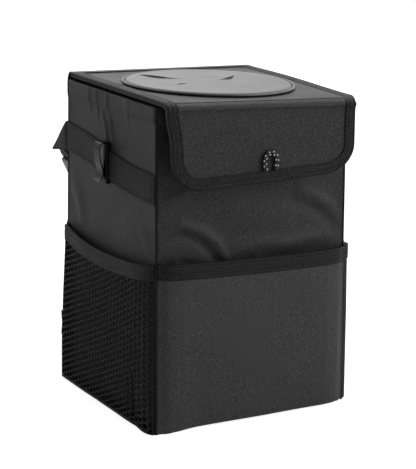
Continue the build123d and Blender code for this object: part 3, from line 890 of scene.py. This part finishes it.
def make_net(name):
    """Net pocket: knotless net of six-sided holes, slack in the middle."""
    length = lengths_along(pocket_plan(name)[0])[-1]
    height = pocket_top - 2 * net_low
    outer, inner = net_cells(length, height)
    cells = len(outer)
    shared, number = np.unique(np.round(outer.reshape(-1, 2), 7), axis=0, return_inverse=True)
    count = len(shared)
    front = number.reshape(cells, 12)
    back = front + count
    hole = np.arange(12 * cells).reshape(cells, 12) + 2 * count
    flat = np.concatenate([shared, shared, inner.reshape(-1, 2)])
    lift = np.repeat((strand_half, -strand_half, 0.0), (count, count, 12 * cells))
    faces = []
    for k in range(12):
        n = (k + 1) % 12
        faces.append(np.stack([front[:, k], front[:, n], hole[:, n], hole[:, k]], axis=1))
        faces.append(np.stack([back[:, n], back[:, k], hole[:, k], hole[:, n]], axis=1))
    faces = np.concatenate(faces)
    start, end = open_edges(faces, len(flat))
    start, end = start[start < count], end[start < count]
    rim = np.stack([end, start, start + count, end + count], axis=1)
    faces = [list(dict.fromkeys(face)) for face in np.concatenate([faces, rim]).tolist()]
    faces = [face for face in faces if len(face) > 2]
    strands = Shape(net_places(name, flat, lift - cloth / 2), faces, flat)
    shapes = [strands, pocket_floor(name)] + net_edging(name, length, height)
    made = piece(f"{name}_net", shapes, net_yarn, "bin", [pockets[name].node], math.radians(180))
    make_binding(name)


# Lid and flap
lid_round = 0.005
fold_reach = 0.014
fold_lip = 0.0016
lip_fade = 0.0018
fold_taper = 0.012
flap_taper = (0.003, 0.036)
# Where round the fold the dark stitch row sits that paints the crease's shade
fold_shade_seam_turn = math.radians(115)
edge_width = 0.0095
edge_turn = (0.004, 0.020)
lid_edge = 0.0037
flap_slant = 0.0022
flap_wave = 0.0003
lid_columns = 61
lower_fold = lid_top - lid_round
stack = lid_top - lid_under
lid_hole = ((0, disc_y), hole_radius)
board_inset = 0.004
flap_inset = 0.002
lining_inset = 0.001
lining_pinch = 0.0009
pinch_insets = (0.016, 0.004)


def lid_lift(x, y):
    """How far the soft lid stands above its flat place."""
    right = (x / half_width + 1) / 2
    return lid_raise * (1 - right) - right * droop(y)


def settled(points):
    """Points of the lid and flap moved to where the soft cloth has settled."""
    x, y, z = np.moveaxis(points, -1, 0)
    share = np.clip((lower_fold - z) / (lower_fold - flap_low), 0, 1)
    lift = lid_lift(x, y) * (1 - share) + flap_slant * share * x / flap_half
    return points + lift[..., None] * up_axis


def lid_profile():
    """Line of the lid and flap cloth from the hinge over the fold to the lower edge, as (y, z)."""
    turn = np.linspace(math.pi / 2, math.pi, 10)
    centre = np.array((fold_y - fold_lip + fold_reach, lower_fold))
    fold = centre + directions(turn) * (fold_reach, lid_round)
    end = fold[-1, 1]
    down = np.concatenate([spread(end - 0.001, end - 0.010, 0.001), spread(end - 0.012, flap_low)])
    drop = table(fold_y - fold_lip * np.exp((down - end) / lip_fade), down)
    return np.vstack([table(spread(lid_back, fold[0, 0] + 0.001), lid_top), fold, drop])


def lid_side(profile, side):
    """Half width of the lid and flap along their line; the flap's left edge narrows slowly."""
    if side > 0:
        share = np.clip((fold_y + fold_taper - profile[:, 0]) / fold_taper, 0, 1)
    else:
        share = smooth_share(lid_top - profile[:, 1], *flap_taper)
    return half_width + (flap_half - half_width) * share


def flap_edge(x):
    """Height of the flap's lower edge at places across it."""
    past = np.clip(np.abs(x) - (flap_half - flap_corner), 0, flap_corner)
    return flap_low + flap_corner - np.sqrt(flap_corner**2 - past**2)


def flap_bow(x, z):
    """How far the flap stands out in soft waves."""
    share = np.clip((lid_top - z) / (lid_top - flap_low), 0, 1)
    return share * waves(x, z, 21, 0.07, flap_wave)


def fold_blend(made):
    """Leave a piece that runs over the lid's front fold with no body, its place baked into its mesh."""
    made.parent = None
    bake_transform(made)


def make_lid_cloth():
    """Cover of the lid that folds over and goes on as the flap."""
    profile = lid_profile()
    y, z = profile[:, :1], profile[:, 1:]
    place = np.linspace(-1, 1, lid_columns)
    x = np.where(place < 0, lid_side(profile, -1)[:, None], lid_side(profile, 1)[:, None]) * place
    on_flap = z < lower_fold - 0.0005
    stretch = (lower_fold - flap_edge(x)) / (lower_fold - flap_low)
    z = np.where(on_flap, lower_fold - (lower_fold - z) * stretch, z)
    y = y - np.where(on_flap, flap_bow(x, z), 0)
    shape = sheet(settled(table(x, y, z))[::-1], cloth, hole=lid_hole)
    made = piece("lid_and_flap_cloth", shape, oxford, None, ["lid_cover", "flap_cover"])
    fold_blend(made)


def edge_half(side):
    """Outer edge of one half of the lid and flap, from the back to the middle of the flap's lower edge."""
    profile = lid_profile()
    profile = profile[(profile[:, 1] > flap_low + flap_corner) & (profile[:, 0] < tape_back)]
    edge = table(side * lid_side(profile, side), profile[:, 0], profile[:, 1])
    ahead = unit(np.gradient(profile, axis=0))
    turn = np.linspace(0, math.pi / 2, 12)
    radial = table(side * np.cos(turn), 0.0, -np.sin(turn))
    centre = np.array((side * (flap_half - flap_corner), fold_y, flap_low + flap_corner))
    bottom = table(side * spread(flap_half - flap_corner, 0)[1:], fold_y, flap_low)
    points = np.vstack([edge, centre + flap_corner * radial, bottom])
    sideways = np.broadcast_to((side, 0.0, 0.0), edge.shape)
    out = np.vstack([sideways, radial, np.broadcast_to(-up_axis, bottom.shape)])
    flap_face = np.broadcast_to(-back_axis, (len(points) - len(edge), 3))
    face = np.vstack([table(0.0, ahead[:, 1], -ahead[:, 0]), flap_face])
    points[:, 1] -= np.where(points[:, 2] < lower_fold, flap_bow(points[:, 0], points[:, 2]), 0)
    return settled(points), out, face


def make_edge_tape():
    """Tape folded over the edge of the lid and flap, with two rows of stitches."""
    halves = zip(edge_half(-1.0), edge_half(1.0))
    points, out, face = (np.vstack([left, right[-2::-1]]) for left, right in halves)
    on_flap = smooth_share(lid_top - points[:, 2], *edge_turn)
    under = -(lid_edge + on_flap * (stack + 0.0006 - lid_edge))
    rows = tape_rows(edge_width)
    far = 1.0
    section = tape_section((-edge_width, -far), (tape, tape), rows, 0.0014, 4)
    section = np.tile(section, (len(points), 1, 1))
    depth = section[..., 1]
    section[..., 1] = np.where(depth < -far / 2, depth + far + under[:, None], depth)
    shape = sweep(points, out, face, section)
    nodes = ["lid_binding_left", "lid_binding_right", "flap_binding"]
    fold_blend(piece("lid_and_flap_tape", shape, edge_tape, None, nodes))
    stitches = [stitch_row(points + out * place + face * (tape - stitch_sunk), face) for place in rows]
    fold_blend(piece("lid_and_flap_stitches", stitches, thread, None))


def make_fold_shade_seam():
    """Near-solid row of dark stitches along the lid's front fold; its dark tape colour and close fill paint
    the shade of the crease there.
    """
    back, up = math.cos(fold_shade_seam_turn), math.sin(fold_shade_seam_turn)
    x = spread(edge_width - half_width, half_width - edge_width)
    line = settled(table(x, fold_y - fold_lip + fold_reach * (1 + back), lid_top - lid_round * (1 - up)))
    facing = unit(np.array((0.0, back / fold_reach, up / lid_round)))
    row = stitch_row(line, facing, fill=0.94, radius=0.0004)
    fold_blend(piece("lid_fold_shade_stitches", row, edge_tape, None))


def lid_layer(half, front, back, z, thickness, facing_down):
    """Flat layer of the lid with the round hole in it; half is its half width."""
    x = np.linspace(-half, half, lid_columns)
    y = spread(front, back)[:, None]
    if facing_down:
        start, end = (half_width - inset for inset in pinch_insets)
        z = z + lining_pinch * smooth_share(np.abs(x), start, end)
    points = settled(table(x, y, z))
    return sheet(points[:, ::-1] if facing_down else points, thickness, hole=lid_hole)


def make_lid_layers():
    """Board and inner cloth of the lid."""
    board_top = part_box("lid_board")[1].z - 0.0001
    front, back = fold_y + 0.010, lid_back - board_inset
    shape = lid_layer(half_width - board_inset, front, back, board_top, lid_board, False)
    piece("lid_board_sheet", shape, grey_board, "lid", ["lid_board"])
    shape = lid_layer(half_width - lining_inset, fold_y + 0.007, lid_back, lid_under, film, True)
    made = piece("lid_inner_cloth", shape, oxford, "lid", ["lid_lining"])


def make_hole_edge():
    """Tape round the lid's hole with its row of stitches."""
    angle = np.linspace(0, 2 * math.pi, 96, endpoint=False)
    out = table(np.cos(angle), np.sin(angle), 0.0)
    path = out * hole_radius + np.array((0, disc_y, 0))
    path = settled(path + lid_top * up_axis) - lid_top * up_axis
    ring = rounded_box((-0.0006, lid_under - 0.0006), (0.0060, lid_top + 0.0001), 0.0005, 2)
    piece("lid_hole_tape", sweep(path, out, up_axis, ring, closed=True), edge_tape, "lid")
    line = path + out * 0.004 + up_axis * (lid_under - 0.0007)
    piece("lid_hole_stitches", stitch_row(looped(line), -up_axis), thread, "lid")


def flap_layer(left, y, top, inset, columns, rows, thickness):
    """Layer behind the flap's cloth that starts at its left edge, as seen from the side it faces."""
    x = np.linspace(left, -left, columns)
    z = top - (top - flap_edge(x) - inset) * np.linspace(1, 0, rows)[:, None]
    return sheet(settled(table(x, y - flap_bow(x, z), z)), thickness)


def make_flap_layers():
    """Inner cloth and board of the flap."""
    top = min(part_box("flap_lining")[1].z, lower_fold)
    shape = flap_layer(flap_half - lining_inset, flap_back, top, lining_inset, 59, 25, film)
    made = piece("flap_inner_cloth", shape, oxford, "flap", ["flap_lining"])
    board_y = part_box("flap_board")[0].y
    top = lower_fold - flap_inset
    shape = flap_layer(flap_inset - flap_half, board_y, top, flap_inset, 41, 17, lid_board)
    piece("flap_board_sheet", shape, grey_board, "flap", ["flap_board"])


# Disc with a cross slit
slit_reach = 0.062
slit_shut = 0.00003
petal_rise = 0.0010
petal_steps = 37
bend_limits = (-0.015, 0.020)
bead_in = 0.0020
bead_base = 0.0014
bead_rise = 0.0012
groove_in = 0.0036
groove_depth = 0.0014
groove_width = 0.0006
groove_middle = (bead_in + groove_in) / 2
plate_drop = 0.0003
rim_sheet = 0.0012
disc_thickness = disc_high.z - disc_low.z
disc_turns = 144
disc_middle = np.array((-0.0026, disc_y - 0.0015))

# Slits from the back right turning left: how far each stands open and its two sides part, where, its
# direction in degrees there and its turn in degrees for a metre outward
Slit = namedtuple("Slit", "open rise place width angle bend")
slits = (
    Slit(0.0012, -0.0009, 0.028, 0.010, 22, 600), Slit(0.0012, 0.0007, 0.047, 0.014, 135, -330),
    Slit(0.0005, 0.0003, 0.032, 0.005, 198, 0), Slit(0.0, 0.0, 0.036, 0.007, 292, 0),
)


def disc_height(radius):
    """Height of the disc's upper face above its lower face, at a distance from its middle."""
    inward = disc_radius - radius
    bead = bead_base + bead_rise * np.sqrt(np.clip(1 - ((inward - bead_in / 2) / (bead_in / 2)) ** 2, 0, 1))
    groove = np.exp(-(((inward - groove_middle) / groove_width) ** 2))
    return np.where(inward < bead_in, bead, disc_thickness - plate_drop - groove_depth * groove)


def disc_spots(angles, radius, raised=0.0):
    """Points of one ring of the disc's upper face."""
    x = disc_middle[0] + radius * np.cos(angles)
    y = disc_middle[1] + radius * np.sin(angles)
    return settled(table(x, y, disc_low.z + disc_height(radius) + raised))


def make_petal(quarter):
    """One quarter of the disc between two slits."""
    first, last = slits[quarter], slits[(quarter + 1) % 4]
    rings = []
    for radius in np.concatenate([[0.0003, 0.0025], spread(0.005, slit_reach, 0.002)]):
        ends, raised = [], 0.0
        for slit, side in ((first, -1), (last, 1)):
            bell = math.exp(-(((radius - slit.place) / slit.width) ** 2))
            bend = slit.bend * float(np.clip(radius - slit.place, *bend_limits))
            angle = math.radians(slit.angle + bend)
            ends.append(angle - side * math.asin(min(0.7, (slit_shut + slit.open * bell / 2) / radius)))
            share = np.linspace((1 - side) / 2, (1 + side) / 2, petal_steps)
            raised = raised + side * slit.rise * bell * share**3
        angles = np.linspace(ends[0], ends[1] + (2 * math.pi if quarter == 3 else 0), petal_steps)
        rings.append(disc_spots(angles, radius, np.minimum(raised, petal_rise)))
    return sheet(np.stack(rings)[:, ::-1], disc_thickness - 2 * plate_drop)


def make_disc():
    """Moulded disc: bead, stitched groove and four petals parted by a cross slit."""
    plate = spread(slit_reach - 0.0005, disc_radius - groove_in - 0.0006, 0.004)
    edge = spread(disc_radius - groove_in, disc_radius, 0.0003)
    angles = np.linspace(2 * math.pi, 0, disc_turns, endpoint=False)
    rings = [disc_spots(angles, radius) for radius in np.concatenate([plate, edge])]
    shapes = [make_petal(quarter) for quarter in range(4)] + [sheet(np.stack(rings), rim_sheet, wrap=True)]
    piece("slit_disc_sheet", shapes, disc_rubber, "lid", ["slit_disc"])
    line = disc_spots(np.linspace(0, 2 * math.pi, 200), disc_radius - groove_middle) + 0.0002 * up_axis
    piece("disc_stitches", stitch_row(line, up_axis, 0.0036), thread, "lid")


# Webbing, strap and buckle
band_front_y = {-1: -half_depth + 0.0006, 1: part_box("right_strap")[0].y}
band_front_z = rim_z - 0.0664
band_back_z = rim_z - 0.0495
band_end = half_depth + 0.0012
band_push = 0.0012
strap_near = half_depth + 0.005
web_half = 0.0125
strap_far = strap_near + 2 * web_half
band_slope = (band_back_z - band_front_z) / (2 * half_depth)
fold_middle = band_back_z + band_slope * (strap_near - half_depth)
strap_top = fold_middle - web_half
strap_start_x = -(half_width + webbing)
strap_slope = math.radians(65.0)
strap_run = 0.096
strap_tuck = 0.0005
strap_ahead = np.array((math.cos(strap_slope), -math.sin(strap_slope)))
strap_in = np.array((-strap_ahead[1], strap_ahead[0]))
male_half = 0.0030
buckle_clearance = 0.0004
buckle_soft = 0.0004
bar_place = 0.010
bar_radius = 0.0020
bar_clearance = 0.0003
female_start = 0.015
female_length = 0.030
buckle_offset = male_half + buckle_clearance + webbing / 2
bar_loop = bar_radius + bar_clearance + webbing / 2
strap_end = female_start + female_length + 2 * buckle_clearance
fold_tip = (0.0030, -0.0045)
tip_half = 0.0012
band_sag = ((-0.085, 0.0), (-0.0436, -0.0029), (-0.0014, -0.0019), (0.0350, 0.0010), (0.091, 0.0))
web_profile = rounded_box((-webbing / 2, -web_half), (webbing / 2, web_half), 0.0005, 2)
web_stitch = web_half - 0.002
band_end_rows = (0.002, 0.0045, 0.007)
band_unsewn = 0.006
loop_start = 0.5
loop_turn = 5.2


def on_run(distance, inward=0.0):
    """Point of the left strap run in X and Z, below its top and inward of it."""
    return np.array((strap_start_x, strap_top)) + distance * strap_ahead + inward * strap_in


def band_path(side, name):
    """Middle line of the webbing on one side wall, and its directions outward and up."""
    y = spread(band_front_y[side], band_end)
    sag = smooth_line(band_sag, 0.001)
    middle = band_front_z + band_slope * (y + half_depth) + np.interp(y, sag[:, 0], sag[:, 1])
    out = np.clip(relief(name, side * y, middle), 0, band_push) + webbing / 2
    path = table(side * (half_width + out), y, middle)
    outward = np.array((side, 0.0, 0.0))
    rise = unit(np.cross(outward, unit(np.gradient(path, axis=0))))
    return path, outward, rise * np.sign(rise[:, 2:])


def band_fold(side):
    """Webbing folded over behind a side band, narrowing to its tip."""
    top = np.array((band_end, fold_middle + web_half))
    corner = np.array((band_end, strap_top))
    tip = np.array((strap_far, strap_top)) + fold_tip
    share = np.linspace(0, 1, 9)
    upper = top + (tip + (0, tip_half) - top) * share[:, None]
    lower = corner + (tip - (0, tip_half) - corner) * share[:, None]
    across = np.linspace(0, 1, 5)[:, None]
    spots = lower + (upper - lower) * across[..., None]
    puff = half_width + webbing * (1.1 + 0.9 * share) + 0.0004 * np.sin(math.pi * across)
    points = table(side * puff, spots[..., 0], spots[..., 1])
    return sheet(points if side > 0 else points[:, ::-1], 2 * webbing)


def make_webbing(name, side, line):
    """Webbing of one side: the sewn band, the fold behind it and the strap along a line."""
    path, outward, rise = band_path(side, name)
    shapes = [sweep(path, outward, rise, web_profile), band_fold(side), ribbon(line)]
    rows = []
    for level in (-web_stitch, web_stitch):
        row = path + rise * level + outward * (webbing / 2 + stitch_clear)
        rows.append(stitch_row(row[: -int(band_unsewn / grid_step)], outward))
    for back in band_end_rows:
        spot = path[0] + outward * (webbing / 2 + stitch_clear) + np.array((0, back, back * band_slope))
        row = spot + np.linspace(-web_stitch, web_stitch, 12)[:, None] * rise[0]
        rows.append(stitch_row(row, outward))
    piece(f"{name}_webbing", shapes, web_yarn, "bin", [f"{name}_strap"])
    piece(f"{name}_webbing_stitches", rows, thread, "bin")


def ribbon(line):
    """Strap ribbon along a line of X and Z places behind the bin, its width running back."""
    line = even(line, 0.002)
    path = table(line[:, 0], (strap_near + strap_far) / 2, line[:, 1])
    ahead = unit(np.gradient(path, axis=0))
    return sweep(path, table(-ahead[:, 2], 0.0, ahead[:, 0]), back_axis, web_profile)


def make_straps():
    """Both side bands, and the strap that hangs behind the bin as a loop."""
    bar = on_run(bar_place, buckle_offset)
    top = np.array((strap_start_x, strap_top - strap_tuck))
    angle = math.atan2(*(top - bar)[::-1])
    turns = angle + loop_start + np.linspace(0, loop_turn, 30)
    make_webbing("left", -1, np.vstack([top, bar + bar_loop * directions(turns)]))
    end = on_run(strap_run)
    radius = -end[0] / math.sin(strap_slope)
    turns = np.linspace(-strap_slope, strap_slope, 40)
    low = table(radius * np.sin(turns), end[1] + radius * (math.cos(strap_slope) - np.cos(turns)))
    make_webbing("right", 1, np.vstack([on_run(strap_end), low, top * (-1, 1)]))


def make_softened(node, body):
    """Moulded part with its edges rounded."""
    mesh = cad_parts[node].data.copy()
    work = bmesh.new()
    work.from_mesh(mesh)
    bmesh.ops.remove_doubles(work, verts=work.verts, dist=1e-6)
    bmesh.ops.dissolve_limit(work, angle_limit=math.radians(2), verts=work.verts, edges=work.edges)
    sharp = [edge for edge in work.edges if edge.is_manifold and edge.calc_face_angle() > math.radians(35)]
    bmesh.ops.bevel(
        work, geom=sharp, offset=buckle_soft, segments=2, profile=0.5, affect="EDGES", clamp_overlap=True
    )
    work.to_mesh(mesh)
    work.free()
    shade(mesh, moulded, math.radians(40))
    assign(add_object(f"{node}_moulding", mesh), body, [node])


# Side hooks: a plate on the webbing and a springy tongue, as places out of the plate and up
hook_plate = ((0.0020, 0.0), (0.0020, 0.0175), (0.0020, 0.0350))
tongue_line = (
    (0.0010, 0.0330), (0.0032, 0.0342), (0.0066, 0.0341), (0.0088, 0.0326), (0.0096, 0.0275),
    (0.0088, 0.0190), (0.0070, 0.0125), (0.0066, 0.0080), (0.0078, 0.0040), (0.0098, 0.0022),
)
plate_half = 0.0024
tongue_crown = 0.0010
tongue_edge = 0.0001
tongue_back = 0.0009


def make_hook(node, side):
    """Spring hook on a side band."""
    low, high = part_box(node)
    inner = min(abs(low.x), abs(high.x))
    half = (high.y - low.y) / 2
    plate_section = rounded_box((-plate_half, -half), (plate_half, half), 0.0007, 3)
    across = np.linspace(-half, half, 13)
    crown = tongue_crown * np.sqrt(np.clip(1 - (across / half) ** 2, 0, 1))
    tongue_section = np.vstack([table(crown - tongue_edge, across), table(-tongue_back, across[::-1])])
    shapes = []
    for line, section in ((hook_plate, plate_section), (tongue_line, tongue_section)):
        spots = smooth_line(line, 0.0007)
        ahead = unit(np.gradient(spots, axis=0))
        path = table(side * (inner + spots[:, 0]), low.y + half, low.z + spots[:, 1])
        shapes.append(sweep(path, table(side * ahead[:, 1], 0.0, -ahead[:, 0]), back_axis, section))
    piece(f"{node}_moulding", shapes, moulded, "bin", [node])


# Small pieces
loop_points = (
    (-0.0011, 0.2145), (-0.0031, 0.2225), (0.0001, 0.2287), (0.0069, 0.2291), (0.0099, 0.2225),
    (0.0079, 0.2145),
)
cord_radius = 0.0016
loop_y = fold_y - 0.0001 - cord_radius
fleck_turn = 0.75
fleck_pitch = 0.0044
fleck_fill = 0.36
fleck_radius = 0.0006


def make_pull_loop():
    """Speckled cord loop on the flap."""
    curve = bpy.data.curves.new("pull_loop_cord", "CURVE")
    curve.dimensions = "3D"
    spline = curve.splines.new("NURBS")
    spline.points.add(len(loop_points) - 1)
    for point, (x, z) in zip(spline.points, loop_points):
        point.co = (x, loop_y, z, 1.0)
    spline.order_u = 3
    spline.use_endpoint_u = True
    spline.resolution_u = 12
    made = add_object("pull_loop_cord", curve)
    bpy.context.view_layer.update()
    bare = bpy.data.meshes.new_from_object(made)
    line = np.array([vertex.co for vertex in bare.vertices])
    bpy.data.meshes.remove(bare)
    curve.bevel_depth = cord_radius
    curve.bevel_resolution = 5
    curve.use_fill_caps = True
    curve.materials.append(cord_braid)
    assign(made, "flap", ["pull_loop"])
    side = np.cross(-back_axis, unit(np.gradient(line, axis=0)))
    rows = []
    for turn, skip in ((-fleck_turn, 0), (fleck_turn, 3)):
        facing = math.cos(turn) * -back_axis + math.sin(turn) * side
        spots = (line + facing * (cord_radius - 0.0001))[skip:]
        rows.append(stitch_row(spots, facing[skip:], fleck_pitch, fleck_fill, fleck_radius))
    flecks = piece("pull_loop_flecks", rows, fleck_thread, "flap")


# Closing strips: the bristles' spacing, radius and play
bristle_step = 0.0014
bristle_radius = 0.00028
bristle_shift = 0.0003
bristle_lean = 0.0005
bristle_faces = [[0, 1, 5, 4], [1, 2, 6, 5], [2, 3, 7, 6], [3, 0, 4, 7], [4, 5, 6, 7], [3, 2, 1, 0]]


def make_strip(name, node, body, facing):
    """Closing strip: a woven backing with a field of short bristles or loops."""
    low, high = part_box(node)
    back = high.y if facing < 0 else low.y
    depth = (high.y - low.y) * 0.5
    half = (high.z - low.z) / 2
    path = table(spread(low.x, high.x, 0.004), back, (low.z + high.z) / 2)
    backing = sweep(path, up_axis, facing * back_axis, rounded_box((-half, 0.0), (half, depth), 0.0003, 2))
    random = np.random.default_rng(41)
    margin = 0.001
    x = spread(low.x + margin, high.x - margin, bristle_step)
    z = spread(low.z + margin, high.z - margin, bristle_step)[:, None]
    spots = table(x, back + facing * depth, z).reshape(-1, 3)
    spots[:, ::2] += random.uniform(-bristle_shift, bristle_shift, (len(spots), 2))
    lean = random.uniform(-bristle_lean, bristle_lean, (len(spots), 2))
    tips = spots + table(lean[:, 0], facing * depth * 0.95, lean[:, 1])
    angles = np.linspace(0, 2 * math.pi, 4, endpoint=False)
    ring = bristle_radius * table(np.cos(angles), 0.0, np.sin(angles))
    points = np.concatenate([spots[:, None] + ring, tips[:, None] + 1.2 * ring], axis=1).reshape(-1, 3)
    bristles = Shape(points, copies(bristle_faces, 8, len(spots)), points[:, ::2])
    piece(name, [backing, bristles], pile, body, [node])


hinge_cloth = 0.0009
hinge_inset = 0.0004


def make_hinge_cloth():
    """Cloth hinge from the back wall over to the lid."""
    x = np.linspace(hinge_inset - half_width, half_width - hinge_inset, 55)[::-1]
    on_back = ((half_depth + 0.0012, hinge_low.z), (half_depth + 0.0016, rim_z - 0.006))
    bend = ((hinge_high.y + 0.0002, rim_z + 0.001), (hinge_high.y - 0.0002, rim_z + 0.0042))
    on_top = ((hinge_high.y - 0.0030, lid_top + 0.0009), (lid_back - 0.007, lid_top + 0.0010))
    profile = smooth_line(on_back + bend + on_top, 0.0012)
    points = table(x, profile[:, :1], profile[:, 1:])
    on_lid = smooth_share(profile[:, 1:], rim_z - 0.002, lid_top)
    lift = lid_lift(x, lid_back) * on_lid
    on_lid = on_lid[..., None]
    points = slumped(points) * (1 - on_lid) + (points + lift[..., None] * up_axis) * on_lid
    made = piece("hinge_cloth", sheet(points, hinge_cloth), oxford, None, ["hinge_tape"])
    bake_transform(made)
    row = stitch_row(table(x, half_depth + 0.0018, hinge_low.z + 0.003), back_axis)
    piece("hinge_stitches", row, thread, "bin")


# Liner: the step of its grid, the play and depth of its creases, and its floor's inset
liner_step = 0.004
crease_play = 0.0006
crease_limit = 0.002
liner_inset = 0.003


def make_liner():
    """Waterproof inner bag: creased film walls and floor."""
    half_x = liner_high.x - film
    half_y = liner_high.y - film
    path, out = box_outline(half_x, half_y, corner_radius - cloth)
    up = spread(liner_low.z + film, liner_high.z, liner_step)[:, None]
    around = lengths_along(path)
    push = waves(around, up, 51, 0.035, 0.0007) + waves(around, up, 53, 0.09, 0.0009)
    points = path + up[..., None] * up_axis - np.clip(push + crease_play, 0, crease_limit)[..., None] * out
    x = spread(half_x, -half_x, liner_step)
    y = spread(-half_y, half_y, liner_step)[:, None]
    rise = np.clip(waves(x, y, 57, 0.05, 0.0008) + crease_play, 0, crease_limit)
    floor = table(np.clip(x, liner_inset - half_x, half_x - liner_inset), y, liner_low.z + film + rise)
    shapes = [sheet(points[:, ::-1], film, wrap=True), sheet(floor[:, ::-1], film)]
    made = piece("liner_film_bag", shapes, liner_film, "bin", ["liner"])


def make_base():
    """Cloth under the bin."""
    y = spread(-half_depth, half_depth)[:, None]
    past = np.clip(np.abs(y) - (half_depth - corner_radius), 0, corner_radius)
    half = half_width - corner_radius + np.sqrt(corner_radius**2 - past**2)
    points = table(half * np.linspace(-1, 1, 61), y, 0.0)
    made = piece("base_cloth", sheet(points[:, ::-1], cloth), oxford, "bin", ["base_panel"])


tag_sheet = 0.0010
tag_out = 0.0020
tag_curl = 0.0015
tag_wave = 0.0003


def make_tag():
    """Plain cloth tag, folded double on the bin, drawn as one curled sheet in the back left seam."""
    low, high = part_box("side_tag")
    z = spread(low.z, high.z, 0.002)[:, None]
    y = spread(low.y, high.y, 0.001)
    curl = tag_curl * ((y - low.y) / (high.y - low.y)) ** 2
    points = table(low.x - tag_out - curl + tag_wave * np.sin(z * 300), y, z)
    piece("side_tag_cloth", sheet(points[:, ::-1], tag_sheet), edge_tape, "bin", ["side_tag"])


def make_boards():
    """Stiffening boards behind the walls and in the base."""
    for name, wall in walls.items():
        along = spread(board_inset - wall.width / 2, wall.width / 2 - board_inset)
        up = spread(board_inset, rim_z - 0.003)[:, None]
        shape = sheet(on_wall(name, along, -cloth - 0.0002, up), wall_board)
        piece(f"{name}_board_sheet", shape, grey_board, "bin", [f"{name}_board"])
    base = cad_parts["base_board"]
    base.data.materials.clear()
    base.data.materials.append(grey_board)


# Studio: light of the room, what mirrors show of it, the floor's glow and the lamps
room_light = 0.22
room_dim = 0.18
room_back = 1.3
room_limits = (-0.1, 1.1)
floor_seen = 0.80
floor_glow = 0.15
floor_reach = 8.0
white = (1, 1, 1, 1)
Lamp = namedtuple("Lamp", "name place size power")
lamps = (
    Lamp("key_lamp", (1.5, -1.3, 1.2), 1.7, 28.0),
    Lamp("fill_lamp", (-1.8, 0.5, 1.1), 1.4, 6.0),
    Lamp("back_lamp", (0.4, 1.6, 1.6), 1.2, 10.0),
)
lamp_target = Vector((0, 0, 0.15))


def make_camera():
    """Camera at the photograph's view."""
    flat_share = math.cos(view_elevation)
    level = Vector((math.cos(view_azimuth), math.sin(view_azimuth), 0.0))
    back_x, back_y = math.sin(view_azimuth) * flat_share, -math.cos(view_azimuth) * flat_share
    back = Vector((back_x, back_y, math.sin(view_elevation)))
    upright = back.cross(level)
    right = level * math.cos(view_roll) + upright * math.sin(view_roll)
    up = upright * math.cos(view_roll) - level * math.sin(view_roll)
    data = bpy.data.cameras.new("camera")
    data.sensor_fit = "VERTICAL"
    data.sensor_height = 36.0
    data.lens = data.sensor_height * focal_pixels / image_height
    data.clip_start = 0.05
    data.clip_end = 50.0
    camera = add_object("camera", data)
    place = view_target + back * view_distance - right * view_right_shift - up * view_up_shift
    turn = Matrix((right, up, back)).transposed()
    camera.matrix_world = Matrix.Translation(place) @ turn.to_4x4()
    bpy.context.scene.camera = camera


def seen_directly(tree):
    """One for rays from the camera or through glass, and zero for other light."""
    path = add_node(tree, "LightPath")
    return calc(tree, "MAXIMUM", path["Is Camera Ray"], path["Is Transmission Ray"])


def mirrored_room(tree):
    """Brightness of the room in mirrors: a white sheet behind the bin to its right, a dim room elsewhere."""
    direction = add_node(tree, "TexCoord")["Generated"]
    right, depth, _ = add_node(tree, "SeparateXYZ", {0: direction})
    start, end = room_limits
    place = calc(tree, "ADD", right, depth)
    return add_node(tree, "MapRange", {0: place, 1: start, 2: end, 3: room_dim, 4: room_back})[0]


def make_world():
    """White world that lights the bin as a dim room."""
    world = bpy.data.worlds.new("studio")
    world.use_nodes = True
    tree = world.node_tree
    glossy = add_node(tree, "LightPath")["Is Glossy Ray"]
    room = ranged(tree, glossy, room_light, mirrored_room(tree))
    strength = calc(tree, "MAXIMUM", seen_directly(tree), room)
    set_inputs(tree, tree.nodes["Background"], {"Color": white, "Strength": strength})
    bpy.context.scene.world = world


def make_floor():
    """Pale floor that keeps the shadow."""
    material = bpy.data.materials.new("pale_floor")
    material.use_nodes = True
    tree = material.node_tree
    glow = calc(tree, "MAXIMUM", calc(tree, "MULTIPLY", seen_directly(tree), floor_seen), floor_glow)
    sockets = {
        "Base Color": (0.9, 0.9, 0.9, 1), "Roughness": 0.9, "Specular IOR Level": 0.1,
        "Emission Color": white, "Emission Strength": glow,
    }
    set_inputs(tree, tree.nodes["Principled BSDF"], sockets)
    mesh = bpy.data.meshes.new("floor")
    corners = [(x * floor_reach, y * floor_reach, 0) for x, y in ((-1, -1), (1, -1), (1, 1), (-1, 1))]
    mesh.from_pydata(corners, [], [(0, 1, 2, 3)])
    mesh.materials.append(material)
    add_object("floor", mesh)


def make_studio():
    """World, floor and soft square lamps that face the bin."""
    make_world()
    make_floor()
    for lamp in lamps:
        data = bpy.data.lights.new(lamp.name, "AREA")
        data.size = lamp.size
        data.energy = lamp.power
        made = add_object(lamp.name, data)
        made.location = lamp.place
        made.rotation_euler = (lamp_target - Vector(lamp.place)).to_track_quat("-Z", "Y").to_euler()
    bpy.context.scene.view_settings.view_transform = "Standard"


make_camera()
make_pull_loop()
make_walls()
make_corner_seams()
make_rim_hem()
make_front_pocket()
make_net("left")
make_net("right")
make_lid_cloth()
make_edge_tape()
make_fold_shade_seam()
make_lid_layers()
make_hole_edge()
make_flap_layers()
make_disc()
make_straps()
make_hook("left_hook", -1.0)
make_hook("right_hook", 1.0)
make_softened("buckle_female", "bin")
make_softened("buckle_male", "buckle")
make_strip("loop_strip_pile", "loop_strip", "bin", -1.0)
make_strip("hook_strip_bristles", "hook_strip", "flap", 1.0)
make_hinge_cloth()
make_liner()
make_base()
make_tag()
make_boards()
make_studio()
